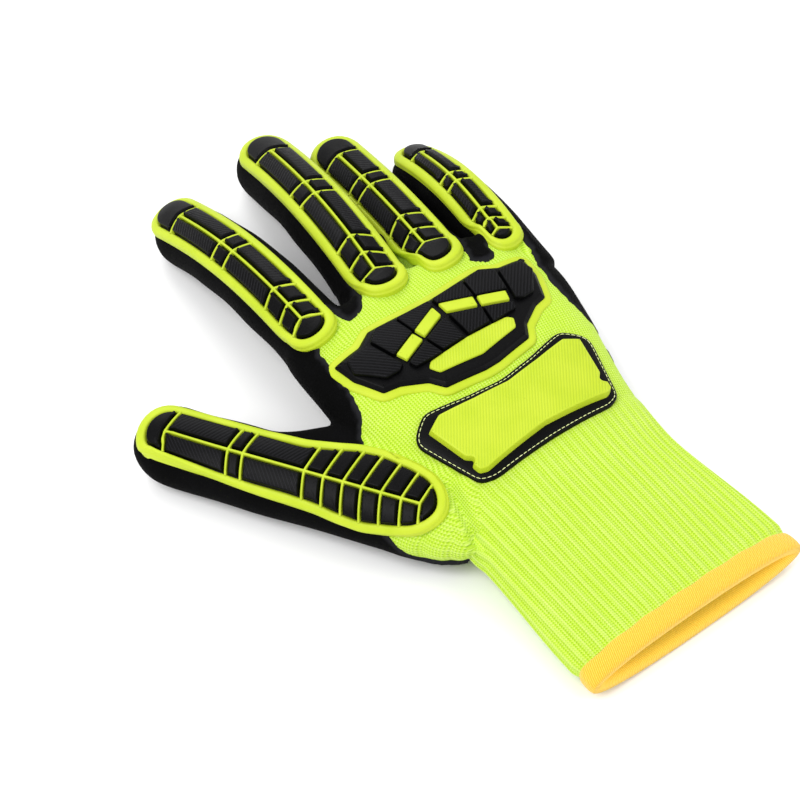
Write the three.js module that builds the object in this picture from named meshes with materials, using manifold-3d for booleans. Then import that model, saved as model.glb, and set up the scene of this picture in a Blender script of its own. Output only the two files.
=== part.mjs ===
import * as THREE from 'three';
import { mergeVertices } from 'three/addons/utils/BufferGeometryUtils.js';
import Module from 'manifold-3d';

// Impact glove for the right hand, lying palm down: a knitted hand dipped in nitrile, a ribbed cuff
// with a hem, moulded guards on the back of every finger, a knuckle panel and a bare badge.
// +X is the little finger's side, +Y the fingertips, +Z up. Lengths in millimetres, angles in degrees.

const wasm = await Module();
wasm.setup();

// Hand and cuff
const HAND_LENGTH = 168;
const PALM_WIDTH = 106;
const PALM_HEIGHT = 39;
const CUFF_LENGTH = 62;
const HEM_LENGTH = 7.6;
const HEM_SWELL = 0.7;
const RIB_COUNT = 54;
const RIB_HEIGHT = 0.8;
const WALL = 1.8;
const CUFF_WALL = 1.4;
const FRONT_ROUNDING = 3.5;
const FRONT_SLOPE = 0.8;
const CREASE_BRIDGE = 4;

// Fingers and thumb
const FINGER_LENGTH = 120.5;
const FINGER_WIDTH = 0.253 * PALM_WIDTH;
const FINGER_HEIGHT = 0.59 * PALM_HEIGHT;
const THUMB_LENGTH = 134;
const THUMB_WIDTH = 0.27 * PALM_WIDTH;
const THUMB_HEIGHT = 0.615 * PALM_HEIGHT;
const THUMB_WEB = 0.095 * PALM_WIDTH;
const TIP_ROUNDING = 1.05;
const PAD_ROUNDING = 0.85;
const DIGIT_SIDES = 10;

// Clearance between two pieces that touch on the real glove
const GAP = 0.3;

// Finger guards: a frame with a thin lattice, and raised blocks on a thin sheet inside it
const GUARD_WIDTH = 0.785 * FINGER_WIDTH;
const THUMB_GUARD_WIDTH = 0.84 * THUMB_WIDTH;
const RIM_WIDTH = 0.186 * GUARD_WIDTH;
const RIM_HEIGHT = 2.5;
const RIM_LIFT = 0.55;
const SHEET_HEIGHT = 0.6;
const SHEET_LIFT = 0.6;
const THUMB_LIFT = 0.4;
const BLOCK_HEIGHT = 3.3;
const BLOCK_TAPER = 0.45;
const LATTICE_WIDTH = 0.052 * GUARD_WIDTH;
const LATTICE_HEIGHT = 0.7;
const SLAT_DROP = 0.05;
const CHEVRON = 0.09 * GUARD_WIDTH;
const BASE_SLOPE = 0.55;

// Knuckle panel on its flange
const PANEL_WIDTH = 0.798 * PALM_WIDTH;
const PANEL_LENGTH = 0.225 * HAND_LENGTH;
const PANEL_HEIGHT = 1.3;
const PANEL_BLOCK_RISE = 1.9;
const PANEL_CENTRE_X = 0.014 * PALM_WIDTH;
const PANEL_CENTRE_Y = 0.772 * HAND_LENGTH;
const FLANGE_WIDTH = 3.4;
const FLANGE_HEIGHT = 1.0;
const HAND_LIFT = 0.6;
const BAR_HEIGHT = 1.0;
const INLAY_HEIGHT = 0.7;

// Badge: a sewn patch with a raised plate
const BADGE_WIDTH = 0.736 * PALM_WIDTH;
const BADGE_LENGTH = 0.205 * HAND_LENGTH;
const BADGE_CENTRE_X = 0.004 * PALM_WIDTH;
const BADGE_CENTRE_Y = 0.556 * HAND_LENGTH;
const PATCH_HEIGHT = 1.2;
const PLATE_HEIGHT = 2.6;

const MATERIALS = {
  knit: { color: 0xc6f23a, roughness: 0.9, metalness: 0 },
  nitrile: { color: 0x151517, roughness: 0.8, metalness: 0 },
  hem: { color: 0xf9c33a, roughness: 0.85, metalness: 0 },
  green_rubber: { color: 0xd9f23c, roughness: 0.55, metalness: 0 },
  black_rubber: { color: 0x161618, roughness: 0.5, metalness: 0 },
};

const DEGREE = Math.PI / 180;
const UP = new THREE.Vector3(0, 0, 1);

function smooth(t) {
  const c = Math.min(Math.max(t, 0), 1);
  return c * c * (3 - 2 * c);
}

function mix(a, b, t) {
  return a + (b - a) * t;
}

// Value of a column of a table at a place in its first column
function lookUp(table, place, column) {
  if (place <= table[0][0]) return table[0][column];
  for (let i = 1; i < table.length; i += 1) {
    if (place <= table[i][0]) {
      const share = (place - table[i - 1][0]) / (table[i][0] - table[i - 1][0]);
      return mix(table[i - 1][column], table[i][column], share);
    }
  }
  return table[table.length - 1][column];
}

// Sections of the hand from the cuff's end to the fingers
const HAND_SECTIONS = [
  // along: share of the hand's length; centre and half width: shares of the palm's width;
  // bottom and top: shares of the palm's height; slope of the back; squareness
  [0.00, 0.000, 0.443, 0.000, 0.430, 0.00, 2.3],
  [0.18, -0.009, 0.425, 0.000, 0.570, 0.00, 2.3],
  [0.36, -0.019, 0.408, 0.000, 0.718, 0.00, 2.3],
  [0.51, -0.014, 0.416, 0.026, 0.846, 0.00, 2.3],
  [0.65, 0.009, 0.462, 0.103, 0.944, -0.02, 2.4],
  [0.80, 0.028, 0.500, 0.205, 0.990, -0.04, 2.5],
  [0.92, 0.038, 0.500, 0.282, 0.974, -0.06, 2.6],
  [1.00, 0.038, 0.481, 0.333, 0.936, -0.06, 2.6],
];

function handSection(y) {
  const share = y / HAND_LENGTH;
  return {
    centre: lookUp(HAND_SECTIONS, share, 1) * PALM_WIDTH,
    half: lookUp(HAND_SECTIONS, share, 2) * PALM_WIDTH,
    bottom: lookUp(HAND_SECTIONS, share, 3) * PALM_HEIGHT,
    top: lookUp(HAND_SECTIONS, share, 4) * PALM_HEIGHT,
    slope: lookUp(HAND_SECTIONS, share, 5),
    power: lookUp(HAND_SECTIONS, share, 6),
  };
}

// Height of the back of the hand over a place in plan
function handTop(x, y) {
  const s = handSection(y);
  const across = Math.min(Math.abs((x - s.centre) / s.half), 1);
  const crown = (1 - across ** s.power) ** (1 / s.power);
  return (s.bottom + s.top) / 2 + ((s.top - s.bottom) / 2) * crown + s.slope * (x - s.centre);
}

// Points evenly spaced round a section of the hand, each moved out by lift(index)
function handRing(y, count, lift) {
  const s = handSection(y);
  const fine = 360;
  const outline = [];
  for (let i = 0; i <= fine; i += 1) {
    const angle = (i / fine) * 2 * Math.PI - Math.PI / 2;
    const c = Math.cos(angle);
    const d = Math.sin(angle);
    const x = s.centre + s.half * Math.sign(c) * Math.abs(c) ** (2 / s.power);
    const z = (s.bottom + s.top) / 2 + ((s.top - s.bottom) / 2) * Math.sign(d) * Math.abs(d) ** (2 / s.power);
    outline.push([x, z + s.slope * (x - s.centre)]);
  }
  const run = [0];
  for (let i = 1; i <= fine; i += 1) {
    run.push(run[i - 1] + Math.hypot(outline[i][0] - outline[i - 1][0], outline[i][1] - outline[i - 1][1]));
  }
  const ring = [];
  let k = 1;
  for (let i = 0; i < count; i += 1) {
    const target = ((i + 0.5) / count) * run[fine];
    while (run[k] < target) k += 1;
    const t = (target - run[k - 1]) / (run[k] - run[k - 1]);
    const ax = outline[k][0] - outline[k - 1][0];
    const az = outline[k][1] - outline[k - 1][1];
    const length = Math.hypot(ax, az);
    const out = lift(i);
    const x = outline[k - 1][0] + ax * t + (az / length) * out;
    const z = outline[k - 1][1] + az * t - (ax / length) * out;
    ring.push(new THREE.Vector3(x, y, z));
  }
  return ring;
}

// Digits: where each one starts and which way it points
const DIGITS = {
  // root x: share of the palm's width; root y: share of the hand's length; root z: share of its height;
  // yaw; pitch at the root and the tip; length, width and height: shares of the named sizes;
  // roll at the root and the tip
  index: [-0.323, 0.893, 0.685, 3.2, 3, -26.5, 0.942, 1.0, 1.0, -20, -16],
  middle: [-0.044, 0.905, 0.660, 10.6, 2.2, -23.2, 1.0, 0.97, 1.0, -7, -3],
  ring: [0.206, 0.893, 0.640, 8.9, -4.6, -17, 0.848, 0.890, 0.974, -21, -13],
  little: [0.453, 0.863, 0.513, 6.7, 8, -30, 0.714, 0.858, 0.904, -24, 9],
  thumb: [-0.330, 0.381, 0.449, -29.1, -3, -3, 1.0, 1.0, 1.0, -20, -17],
};
const TIP_TAPER = 0.895;
const TIP_HEIGHT_TAPER = 0.87;

function digit(name) {
  const [x, y, z, yaw, pitchRoot, pitchTip, lengthShare, widthShare, heightShare] = DIGITS[name];
  const [rollRoot, rollTip] = DIGITS[name].slice(-2);
  const isThumb = name === 'thumb';
  return {
    name,
    root: new THREE.Vector3(x * PALM_WIDTH, y * HAND_LENGTH, z * PALM_HEIGHT),
    yaw: yaw * DEGREE,
    pitchRoot: pitchRoot * DEGREE,
    pitchTip: pitchTip * DEGREE,
    rollRoot: rollRoot * DEGREE,
    rollTip: rollTip * DEGREE,
    length: lengthShare * (isThumb ? THUMB_LENGTH : FINGER_LENGTH),
    half: (widthShare * (isThumb ? THUMB_WIDTH : FINGER_WIDTH)) / 2,
    rise: (heightShare * (isThumb ? THUMB_HEIGHT : FINGER_HEIGHT)) / 2,
    tipTaper: isThumb ? 1 : TIP_TAPER,
    web: isThumb ? THUMB_WEB : 0,
    heel: isThumb ? THUMB_WIDTH * 0.75 : 0,
  };
}

// Direction and point of a digit's centre line at a distance from its root
function centreLine(d, distance) {
  const steps = 48;
  const point = d.root.clone();
  const direction = new THREE.Vector3();
  const headingAt = (at) => {
    const pitch = mix(d.pitchRoot, d.pitchTip, smooth(at / d.length));
    const flat = Math.cos(pitch);
    return direction.set(Math.sin(d.yaw) * flat, Math.cos(d.yaw) * flat, Math.sin(pitch));
  };
  for (let i = 0; i < steps; i += 1) {
    point.addScaledVector(headingAt(((i + 0.5) / steps) * distance), distance / steps);
  }
  return { point, along: headingAt(distance).clone() };
}

function digitFrame(d, distance) {
  const { point, along } = centreLine(d, distance);
  const flatSide = new THREE.Vector3().crossVectors(along, UP).normalize();
  const flatBack = new THREE.Vector3().crossVectors(flatSide, along);
  const roll = mix(d.rollRoot, d.rollTip, distance / d.length);
  const side = flatSide.clone().multiplyScalar(Math.cos(roll)).addScaledVector(flatBack, -Math.sin(roll));
  const back = flatBack.clone().multiplyScalar(Math.cos(roll)).addScaledVector(flatSide, Math.sin(roll));
  return { point, along, side, back };
}

// Half width towards one side, with the web of the thumb on the hand's side, and half height
function digitHalf(d, distance, towards) {
  const share = distance / d.length;
  const web = towards > 0 ? d.web * (1 - smooth((share - 0.45) / 0.22)) : 0;
  return d.half * mix(1, d.tipTaper, share) + web;
}

function digitRise(d, distance) {
  return d.rise * mix(1, TIP_HEIGHT_TAPER, distance / d.length);
}

function capFactor(distance, length, cap) {
  const into = Math.max(distance - (length - cap), 0) / cap;
  return Math.sqrt(Math.max(1 - into * into, 0));
}

// Ring of a digit's skin, grown by an amount, at a share of its length
function digitRing(d, share, grow, sides) {
  const length = d.length + grow;
  const start = d.heel ? -grow : 0;
  const distance = mix(start, length, share);
  const { point, side, back } = digitFrame(d, distance);
  const tipHalf = d.half * d.tipTaper + grow;
  const ring = [];
  for (let i = 0; i < sides; i += 1) {
    const angle = ((i + 0.5) / sides) * 2 * Math.PI;
    const c = Math.cos(angle);
    const s = Math.sin(angle);
    const cap = tipHalf * (TIP_ROUNDING + PAD_ROUNDING * Math.max(-s, 0));
    let factor = capFactor(distance, length, cap);
    if (d.heel) factor *= capFactor(length - (distance - start), length, d.heel);
    const across = (digitHalf(d, distance, c) + grow) * factor * c;
    const over = (digitRise(d, distance) + grow) * factor * s;
    ring.push(point.clone().addScaledVector(side, across).addScaledVector(back, over));
  }
  return ring;
}

// Closed surface through rings of points. A strip closes each end by a ladder, a loop joins its ends.
function loft(rings, isLoop = false) {
  const sides = rings[0].length;
  const positions = [];
  const triangles = [];
  rings.forEach((ring) => ring.forEach((p) => positions.push(p.x, p.y, p.z)));
  const bands = isLoop ? rings.length : rings.length - 1;
  for (let r = 0; r < bands; r += 1) {
    const q = (r + 1) % rings.length;
    for (let i = 0; i < sides; i += 1) {
      const j = (i + 1) % sides;
      triangles.push(r * sides + i, r * sides + j, q * sides + j);
      triangles.push(r * sides + i, q * sides + j, q * sides + i);
    }
  }
  if (!isLoop) {
    const end = (rings.length - 1) * sides;
    for (let i = 0; i + 1 < sides / 2; i += 1) {
      const [a, b, c, d] = [i, i + 1, sides - 2 - i, sides - 1 - i];
      triangles.push(a, c, b, a, d, c);
      triangles.push(end + a, end + b, end + c, end + a, end + c, end + d);
    }
  }
  return facing({ positions, triangles });
}

// The same surface with its faces pointing out
function facing(surface) {
  const { positions: p, triangles: t } = surface;
  let volume = 0;
  for (let i = 0; i < t.length; i += 3) {
    const [a, b, c] = [t[i] * 3, t[i + 1] * 3, t[i + 2] * 3];
    volume += p[a] * (p[b + 1] * p[c + 2] - p[b + 2] * p[c + 1]);
    volume += p[a + 1] * (p[b + 2] * p[c] - p[b] * p[c + 2]);
    volume += p[a + 2] * (p[b] * p[c + 1] - p[b + 1] * p[c]);
  }
  if (volume >= 0) return surface;
  const turned = [];
  for (let i = 0; i < t.length; i += 3) turned.push(t[i], t[i + 2], t[i + 1]);
  return { positions: p, triangles: turned };
}

function solid(surface) {
  const mesh = new wasm.Mesh({
    numProp: 3,
    vertProperties: new Float32Array(surface.positions),
    triVerts: new Uint32Array(surface.triangles),
  });
  mesh.merge();
  return new wasm.Manifold(mesh);
}

function surfaceOf(manifold) {
  const mesh = manifold.getMesh();
  const positions = [];
  for (let i = 0; i < mesh.vertProperties.length; i += mesh.numProp) {
    positions.push(mesh.vertProperties[i], mesh.vertProperties[i + 1], mesh.vertProperties[i + 2]);
  }
  return { positions, triangles: Array.from(mesh.triVerts) };
}

function geometrySurface(geometry) {
  const bare = geometry.clone();
  bare.deleteAttribute('normal');
  bare.deleteAttribute('uv');
  const merged = mergeVertices(bare, 1e-4);
  return { positions: Array.from(merged.attributes.position.array), triangles: Array.from(merged.index.array) };
}

// Half of space past a point in a direction, as a block far larger than the glove
function beyond(point, direction) {
  const size = HAND_LENGTH * 6;
  const box = new THREE.BoxGeometry(size, size, size);
  const turn = new THREE.Quaternion().setFromUnitVectors(UP, direction.clone().normalize());
  box.applyQuaternion(turn);
  const centre = point.clone().addScaledVector(direction.clone().normalize(), size / 2);
  box.translate(centre.x, centre.y, centre.z);
  return solid(geometrySurface(box));
}

function prism(outline, low, high) {
  const shape = new THREE.Shape(outline.map(([x, y]) => new THREE.Vector2(x, y)));
  const block = new THREE.ExtrudeGeometry(shape, { depth: high - low, bevelEnabled: false });
  block.translate(0, 0, low);
  return solid(facing(geometrySurface(block)));
}

// Convex block laid on a surface, with its top drawn in by the taper
function laidBlock(outline, low, high, taper, place) {
  const count = outline.length;
  const centre = outline.reduce((sum, [x, y]) => [sum[0] + x / count, sum[1] + y / count], [0, 0]);
  const top = outline.map(([x, y]) => {
    const reach = Math.hypot(x - centre[0], y - centre[1]);
    const keep = Math.max(1 - (taper * 1.4) / reach, 0.3);
    return place(mix(centre[0], x, keep), mix(centre[1], y, keep), high);
  });
  const positions = [];
  [...outline.map(([x, y]) => place(x, y, low)), ...top].forEach((p) => positions.push(p.x, p.y, p.z));
  const triangles = [];
  for (let i = 0; i < count; i += 1) {
    const j = (i + 1) % count;
    triangles.push(i, j, count + j, i, count + j, count + i);
  }
  for (let i = 1; i + 1 < count; i += 1) {
    triangles.push(0, i + 1, i, count, count + i, count + i + 1);
  }
  return solid(facing({ positions, triangles }));
}

// Outline moved out (or in, when negative) by a distance
function offsetOutline(outline, distance) {
  const count = outline.length;
  let area = 0;
  outline.forEach(([x, y], i) => {
    const [nx, ny] = outline[(i + 1) % count];
    area += x * ny - nx * y;
  });
  const sign = Math.sign(area);
  return outline.map(([x, y], i) => {
    const [px, py] = outline[(i + count - 1) % count];
    const [nx, ny] = outline[(i + 1) % count];
    const a = new THREE.Vector2(x - px, y - py).normalize();
    const b = new THREE.Vector2(nx - x, ny - y).normalize();
    const normal = new THREE.Vector2(a.y + b.y, -(a.x + b.x)).normalize();
    const spread = Math.max(normal.dot(new THREE.Vector2(a.y, -a.x)), 0.5);
    return [x + (normal.x * distance * sign) / spread, y + (normal.y * distance * sign) / spread];
  });
}

// Place over a base surface, moved out along the surface's own normal
function overSurface(base, u, v, height) {
  const step = 0.5;
  const p = base(u, v);
  const du = base(u + step, v).sub(base(u - step, v));
  const dv = base(u, v + step).sub(base(u, v - step));
  const normal = new THREE.Vector3().crossVectors(du, dv).normalize();
  if (normal.z < 0) normal.negate();
  return p.addScaledVector(normal, height);
}

function handBase(x, y) {
  return new THREE.Vector3(x, y, handTop(x, y));
}

// The higher of two heights, with the crease between them bridged as stiff rubber does
function bridge(a, b) {
  const share = Math.min(Math.max(0.5 + (b - a) / (2 * CREASE_BRIDGE), 0), 1);
  return mix(a, b, share) + CREASE_BRIDGE * share * (1 - share);
}

// Back of a digit at a distance from its root and an arc length across it, draped over the hand
function digitBase(d, distance, across) {
  const at = Math.min(distance, d.length * 0.996);
  const { point, side, back } = digitFrame(d, at);
  const half = digitHalf(d, at, across);
  const rise = digitRise(d, at);
  const steps = 20;
  const turn = (Math.abs(across) / steps) * Math.sign(across);
  let angle = 0;
  for (let i = 0; i < steps; i += 1) {
    angle += turn / Math.hypot(half * Math.cos(angle), rise * Math.sin(angle));
  }
  const over = capFactor(at, d.length, d.half * d.tipTaper * TIP_ROUNDING);
  const p = point.clone().addScaledVector(side, half * Math.sin(angle));
  p.addScaledVector(back, rise * Math.cos(angle) * over);
  const section = handSection(p.y);
  if (Math.abs(p.x - section.centre) > section.half) return p;
  const fall = Math.max(p.y - (HAND_LENGTH - FRONT_ROUNDING / 2), 0) * FRONT_SLOPE;
  p.z = bridge(p.z, handTop(p.x, Math.min(p.y, HAND_LENGTH)) - fall);
  return p;
}

// Outer and inner surfaces of the hand and its digits
const HAND_SIDES = 24;
const HAND_STATIONS = [0.44, 0.51, 0.58, 0.65, 0.8, 0.92];

function handLoft(grow) {
  const front = HAND_LENGTH - GAP - FRONT_ROUNDING + grow;
  const stations = HAND_STATIONS.map((share) => share * HAND_LENGTH);
  const rings = [CUFF_LENGTH - WALL * 2, ...stations, front].map((y) => handRing(y, HAND_SIDES, () => grow));
  const last = FRONT_ROUNDING;
  rings.push(handRing(front + last * 0.7, HAND_SIDES, () => grow - last * 0.45));
  rings.push(handRing(front + last, HAND_SIDES, () => grow - last * 1.2));
  return solid(loft(rings));
}

const DIGIT_STATIONS = [0, 0.17, 0.34, 0.51, 0.68, 0.82, 0.91, 0.965, 0.992];
const THUMB_STATIONS = [0.006, 0.05, 0.13, 0.24, 0.33, 0.46, 0.58, 0.7, 0.84, 0.91, 0.965, 0.993];

function digitLoft(d, grow) {
  const stations = d.heel ? THUMB_STATIONS : DIGIT_STATIONS;
  return solid(loft(stations.map((share) => digitRing(d, share, grow, DIGIT_SIDES))));
}

const digits = Object.keys(DIGITS).map(digit);
const thumb = digits.find((d) => d.name === 'thumb');
const fingers = digits.filter((d) => d !== thumb);

const handOuter = handLoft(0);
const handInner = handLoft(-WALL);
const outer = new Map(digits.map((d) => [d.name, digitLoft(d, 0)]));
const inner = new Map(digits.map((d) => [d.name, digitLoft(d, -WALL)]));

// Where the digits leave the hand
const THUMB_CUT = THUMB_LENGTH * 0.58;
const toTips = new THREE.Vector3(0, 1, 0);
const fingerCut = new THREE.Vector3(0, HAND_LENGTH, 0);
const fingerStart = new THREE.Vector3(0, HAND_LENGTH + GAP, 0);
const thumbLine = centreLine(thumb, THUMB_CUT);
const thumbStart = thumbLine.point.clone().addScaledVector(thumbLine.along, GAP);
const cuffEnd = new THREE.Vector3(0, CUFF_LENGTH + GAP, 0);

const pastFingers = beyond(fingerCut, toTips);
const pastFingersGap = beyond(fingerStart, toTips);
const pastThumb = beyond(thumbLine.point, thumbLine.along);
const pastThumbGap = beyond(thumbStart, thumbLine.along);
const pastCuff = beyond(cuffEnd, toTips);

const group = new THREE.Group();

function addPiece(name, manifold, slot) {
  const surface = surfaceOf(manifold);
  const geometry = new THREE.BufferGeometry();
  geometry.setAttribute('position', new THREE.Float32BufferAttribute(surface.positions, 3));
  geometry.setIndex(surface.triangles);
  geometry.computeVertexNormals();
  const mesh = new THREE.Mesh(geometry, new THREE.MeshStandardMaterial(MATERIALS[slot]));
  mesh.name = name;
  group.add(mesh);
}

// Digits: hollow, closed at the tip and open to the hand
fingers.forEach((d) => {
  const tube = outer.get(d.name).subtract(inner.get(d.name)).intersect(pastFingersGap);
  addPiece(`${d.name}_finger`, tube, 'nitrile');
});
addPiece('thumb_finger', outer.get('thumb').subtract(inner.get('thumb')).intersect(pastThumbGap), 'nitrile');

// Hand: one wall, parted into the knitted back and the dipped palm
let body = handOuter;
let hollow = handInner;
fingers.forEach((d) => {
  body = body.add(outer.get(d.name));
  hollow = hollow.add(inner.get(d.name));
});
body = body.subtract(pastFingers).add(outer.get('thumb').subtract(pastThumb)).intersect(pastCuff);
hollow = hollow.add(inner.get('thumb'));
const handWall = body.subtract(hollow);

const KNIT_EDGE = [
  // across: share of the palm's width; along: share of the hand's length
  [-0.396, 0.911],
  [-0.231, 0.943],
  [0.066, 0.955],
  [0.330, 0.917],
  [0.490, 0.914],
  [0.466, 0.774],
  [0.519, 0.714],
  [0.515, 0.640],
  [0.700, 0.540],
  [0.700, 0.200],
  [-0.800, 0.200],
  [-0.800, 0.520],
  [-0.590, 0.575],
  [-0.425, 0.730],
  [-0.396, 0.774],
];
const SPLIT_HEIGHT = 0.6 * PALM_HEIGHT;
const COAT_START = 0.52 * HAND_LENGTH;

const knitEdge = KNIT_EDGE.map(([x, y]) => [x * PALM_WIDTH, y * HAND_LENGTH]);
const sky = PALM_HEIGHT * 3;
const palmStart = new THREE.Vector3(0, COAT_START, 0);
const palmStartGap = new THREE.Vector3(0, COAT_START + GAP, 0);
const knitTop = prism(knitEdge, SPLIT_HEIGHT, sky);
const knitTopGap = prism(offsetOutline(knitEdge, GAP), SPLIT_HEIGHT - GAP, sky);
const knitBack = handWall.intersect(knitTop).add(handWall.subtract(beyond(palmStart, toTips)));
const palmCoat = handWall.subtract(knitTopGap).intersect(beyond(palmStartGap, toTips));
addPiece('knit_hand', knitBack, 'knit');
addPiece('nitrile_palm', palmCoat, 'nitrile');

// Ribbed cuff: raised ribs run along it, round a plain inside
function ribbedCuff() {
  const start = HEM_LENGTH + GAP;
  const stations = [start, CUFF_LENGTH];
  const count = RIB_COUNT;
  const positions = [];
  const triangles = [];
  const ribLift = (i) => (i % 2 ? -RIB_HEIGHT / 2 : RIB_HEIGHT / 2);
  const add = (ring) => ring.forEach((p) => positions.push(p.x, p.y, p.z));
  stations.forEach((y) => add(handRing(y, count * 2, ribLift)));
  stations.forEach((y) => add(handRing(y, count, () => -CUFF_WALL)));
  const outerAt = (r, i) => r * count * 2 + (i % (count * 2));
  const innerAt = (r, i) => stations.length * count * 2 + r * count + (i % count);
  for (let r = 0; r + 1 < stations.length; r += 1) {
    for (let i = 0; i < count * 2; i += 1) {
      triangles.push(outerAt(r, i), outerAt(r, i + 1), outerAt(r + 1, i + 1));
      triangles.push(outerAt(r, i), outerAt(r + 1, i + 1), outerAt(r + 1, i));
    }
    for (let i = 0; i < count; i += 1) {
      triangles.push(innerAt(r, i), innerAt(r + 1, i + 1), innerAt(r, i + 1));
      triangles.push(innerAt(r, i), innerAt(r + 1, i), innerAt(r + 1, i + 1));
    }
  }
  for (let i = 0; i < count; i += 1) {
    const [a, b, c] = [2 * i, 2 * i + 1, 2 * i + 2];
    const last = stations.length - 1;
    triangles.push(outerAt(0, b), outerAt(0, a), innerAt(0, i));
    triangles.push(outerAt(0, b), innerAt(0, i), innerAt(0, i + 1));
    triangles.push(outerAt(0, c), outerAt(0, b), innerAt(0, i + 1));
    triangles.push(outerAt(last, a), outerAt(last, b), innerAt(last, i));
    triangles.push(outerAt(last, b), innerAt(last, i + 1), innerAt(last, i));
    triangles.push(outerAt(last, b), outerAt(last, c), innerAt(last, i + 1));
  }
  return solid(facing({ positions, triangles }));
}

addPiece('rib_cuff', ribbedCuff(), 'knit');

// Hem: a rounded band round the cuff's open end
const HEM_PROFILE = [
  // along: share of the hem's length; out: share of its thickness, from its inside
  [0.00, 0.50],
  [0.20, 1.00],
  [0.86, 1.00],
  [1.00, 0.70],
  [1.00, 0.25],
  [0.20, 0.00],
];
const HEM_SIDES = 32;
const hemThickness = CUFF_WALL + HEM_SWELL * 2;
const hemRings = HEM_PROFILE.map(([along, out]) =>
  handRing(along * HEM_LENGTH, HEM_SIDES, () => HEM_SWELL - hemThickness * (1 - out)));
addPiece('cuff_hem', solid(loft(hemRings, true)), 'hem');

// Guards. Places along a digit are shares of its length from the root, widths shares of the guard's.
const GUARDS = {
  // base and tip end of the frame, then the bars from base to tip
  index: [0.047, 0.985, [0.159, 0.230, 0.307, 0.525, 0.590, 0.838]],
  middle: [0.052, 0.962, [0.157, 0.228, 0.305, 0.524, 0.590, 0.825]],
  ring: [0.046, 0.973, [0.198, 0.281, 0.369, 0.586, 0.650, 0.826]],
  little: [0.090, 0.977, [0.202, 0.263, 0.330, 0.514, 0.575, 0.820]],
  thumb: [0.120, 0.985, [0.193, 0.244, 0.300, 0.354, 0.405, 0.459, 0.513, 0.685, 0.727, 0.906]],
};
const LEAF = [
  // along: share of the thumb's length; half width: share of the guard's width
  [0.10, 0.30, 0.34],
  [0.16, 0.40, 0.46],
  [0.24, 0.52, 0.60],
  [0.33, 0.60, 0.68],
  [0.40, 0.57, 0.66],
  [0.46, 0.52, 0.58],
  [0.54, 0.50, 0.50],
  [1.00, 0.50, 0.50],
];
const STRIP = [
  [0.0, 0.5, 0.5],
  [1.0, 0.5, 0.5],
];
const GUARD_SHARE = { index: 0.96, middle: 1, ring: 1.02, little: 0.8, thumb: 1.02 };
// share of a finger's length up to which its bars slant by the base's slope
const BASE_BARS = 0.42;
const FINGER_MARKS = [0.24, 0.34, 0.51, 0.68, 0.82];
const END_MARKS = [0.15, 0.55, 1];
const THUMB_MARKS = [0.24, 0.33, 0.40, 0.46, 0.54, 0.70, 0.84];

// Plan of a guard: its marks along the digit and its half width, drawn in by an inset
function guardPlan(d) {
  const [base, tip, bars] = GUARDS[d.name];
  const isThumb = d === thumb;
  const width = GUARD_SHARE[d.name] * (isThumb ? THUMB_GUARD_WIDTH : GUARD_WIDTH);
  const table = isThumb ? LEAF : STRIP;
  const from = base * d.length;
  const to = tip * d.length;
  const round = (inset) => width * 0.42 - inset * 0.6;
  const halfAt = (u, towards, inset) => {
    const half = lookUp(table, u / d.length, towards > 0 ? 2 : 1) * width - inset;
    const nearTip = capFactor(u, to - inset, round(inset));
    const nearBase = capFactor(to + from - u, to - inset, round(inset));
    return half * Math.min(nearTip, nearBase);
  };
  const marks = (inset, ends) => [
    ...ends.map((share) => from + inset + share * round(inset)),
    ...(isThumb ? THUMB_MARKS : FINGER_MARKS).map((share) => share * d.length),
    ...ends.map((share) => to - inset - share * round(inset)).reverse(),
  ];
  const extra = isThumb ? THUMB_LIFT : 0;
  const place = (u, v, h) => overSurface((x, y) => digitBase(d, x, y), u, v, h + extra);
  const columns = [-1, 0, 1];
  const reach = width / 2 - RIM_WIDTH;
  const slopeAt = (u) => (isThumb || u > BASE_BARS * d.length ? CHEVRON / reach : BASE_SLOPE);
  const setBack = (u) => slopeAt(u) * reach;
  const leaning = (u, sideAt) => {
    const v = sideAt(u - slopeAt(u) * Math.abs(sideAt(u - setBack(u))));
    return [u - slopeAt(u) * Math.abs(v), v];
  };
  return { bars: bars.map((share) => share * d.length), halfAt, marks, place, columns, leaning, setBack };
}

// Frame: a rim all round, a spine along the middle and bars that slant back from it
function guardFrame(plan) {
  const around = (inset) => {
    const marks = plan.marks(inset, [0, ...END_MARKS]);
    const right = marks.map((u) => [u, plan.halfAt(u, 1, inset)]);
    const left = marks.slice(1, -1).reverse().map((u) => [u, -plan.halfAt(u, -1, inset)]);
    return [...right, ...left];
  };
  const inside = around(RIM_WIDTH);
  const rim = around(0).map(([u, v], i) => {
    const [x, y] = inside[i];
    return [
      plan.place(u, v, RIM_LIFT),
      plan.place(u, v, RIM_HEIGHT * 0.8),
      plan.place(mix(u, x, 0.75), mix(v, y, 0.75), RIM_HEIGHT),
      plan.place(x, y, RIM_LIFT),
    ];
  });
  const low = SHEET_LIFT + SHEET_HEIGHT + GAP * 3;
  const high = low + LATTICE_HEIGHT;
  const w = LATTICE_WIDTH / 2;
  const [first, last] = [plan.bars[0] - w, plan.bars[plan.bars.length - 1] + w];
  const along = [first, ...plan.marks(0, []).filter((u) => u > first + w && u < last - w), last];
  const spine = along.map((u) => [[-w, low], [w, low], [w, high], [-w, high]].map(([v, h]) => plan.place(u, v, h)));
  const slats = plan.bars.map((bar) => plan.columns.map((column) => {
    const reach = (u) => column * (plan.halfAt(u, column, RIM_WIDTH) + RIM_WIDTH * 0.2);
    const [u, v] = plan.leaning(bar, reach);
    const corners = [[-w, low], [w, low], [w, high - SLAT_DROP], [-w, high - SLAT_DROP]];
    return corners.map(([du, h]) => plan.place(u + du, v, h));
  }));
  return [spine, ...slats].reduce((frame, rings) => frame.add(solid(loft(rings))), solid(loft(rim, true)));
}

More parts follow.
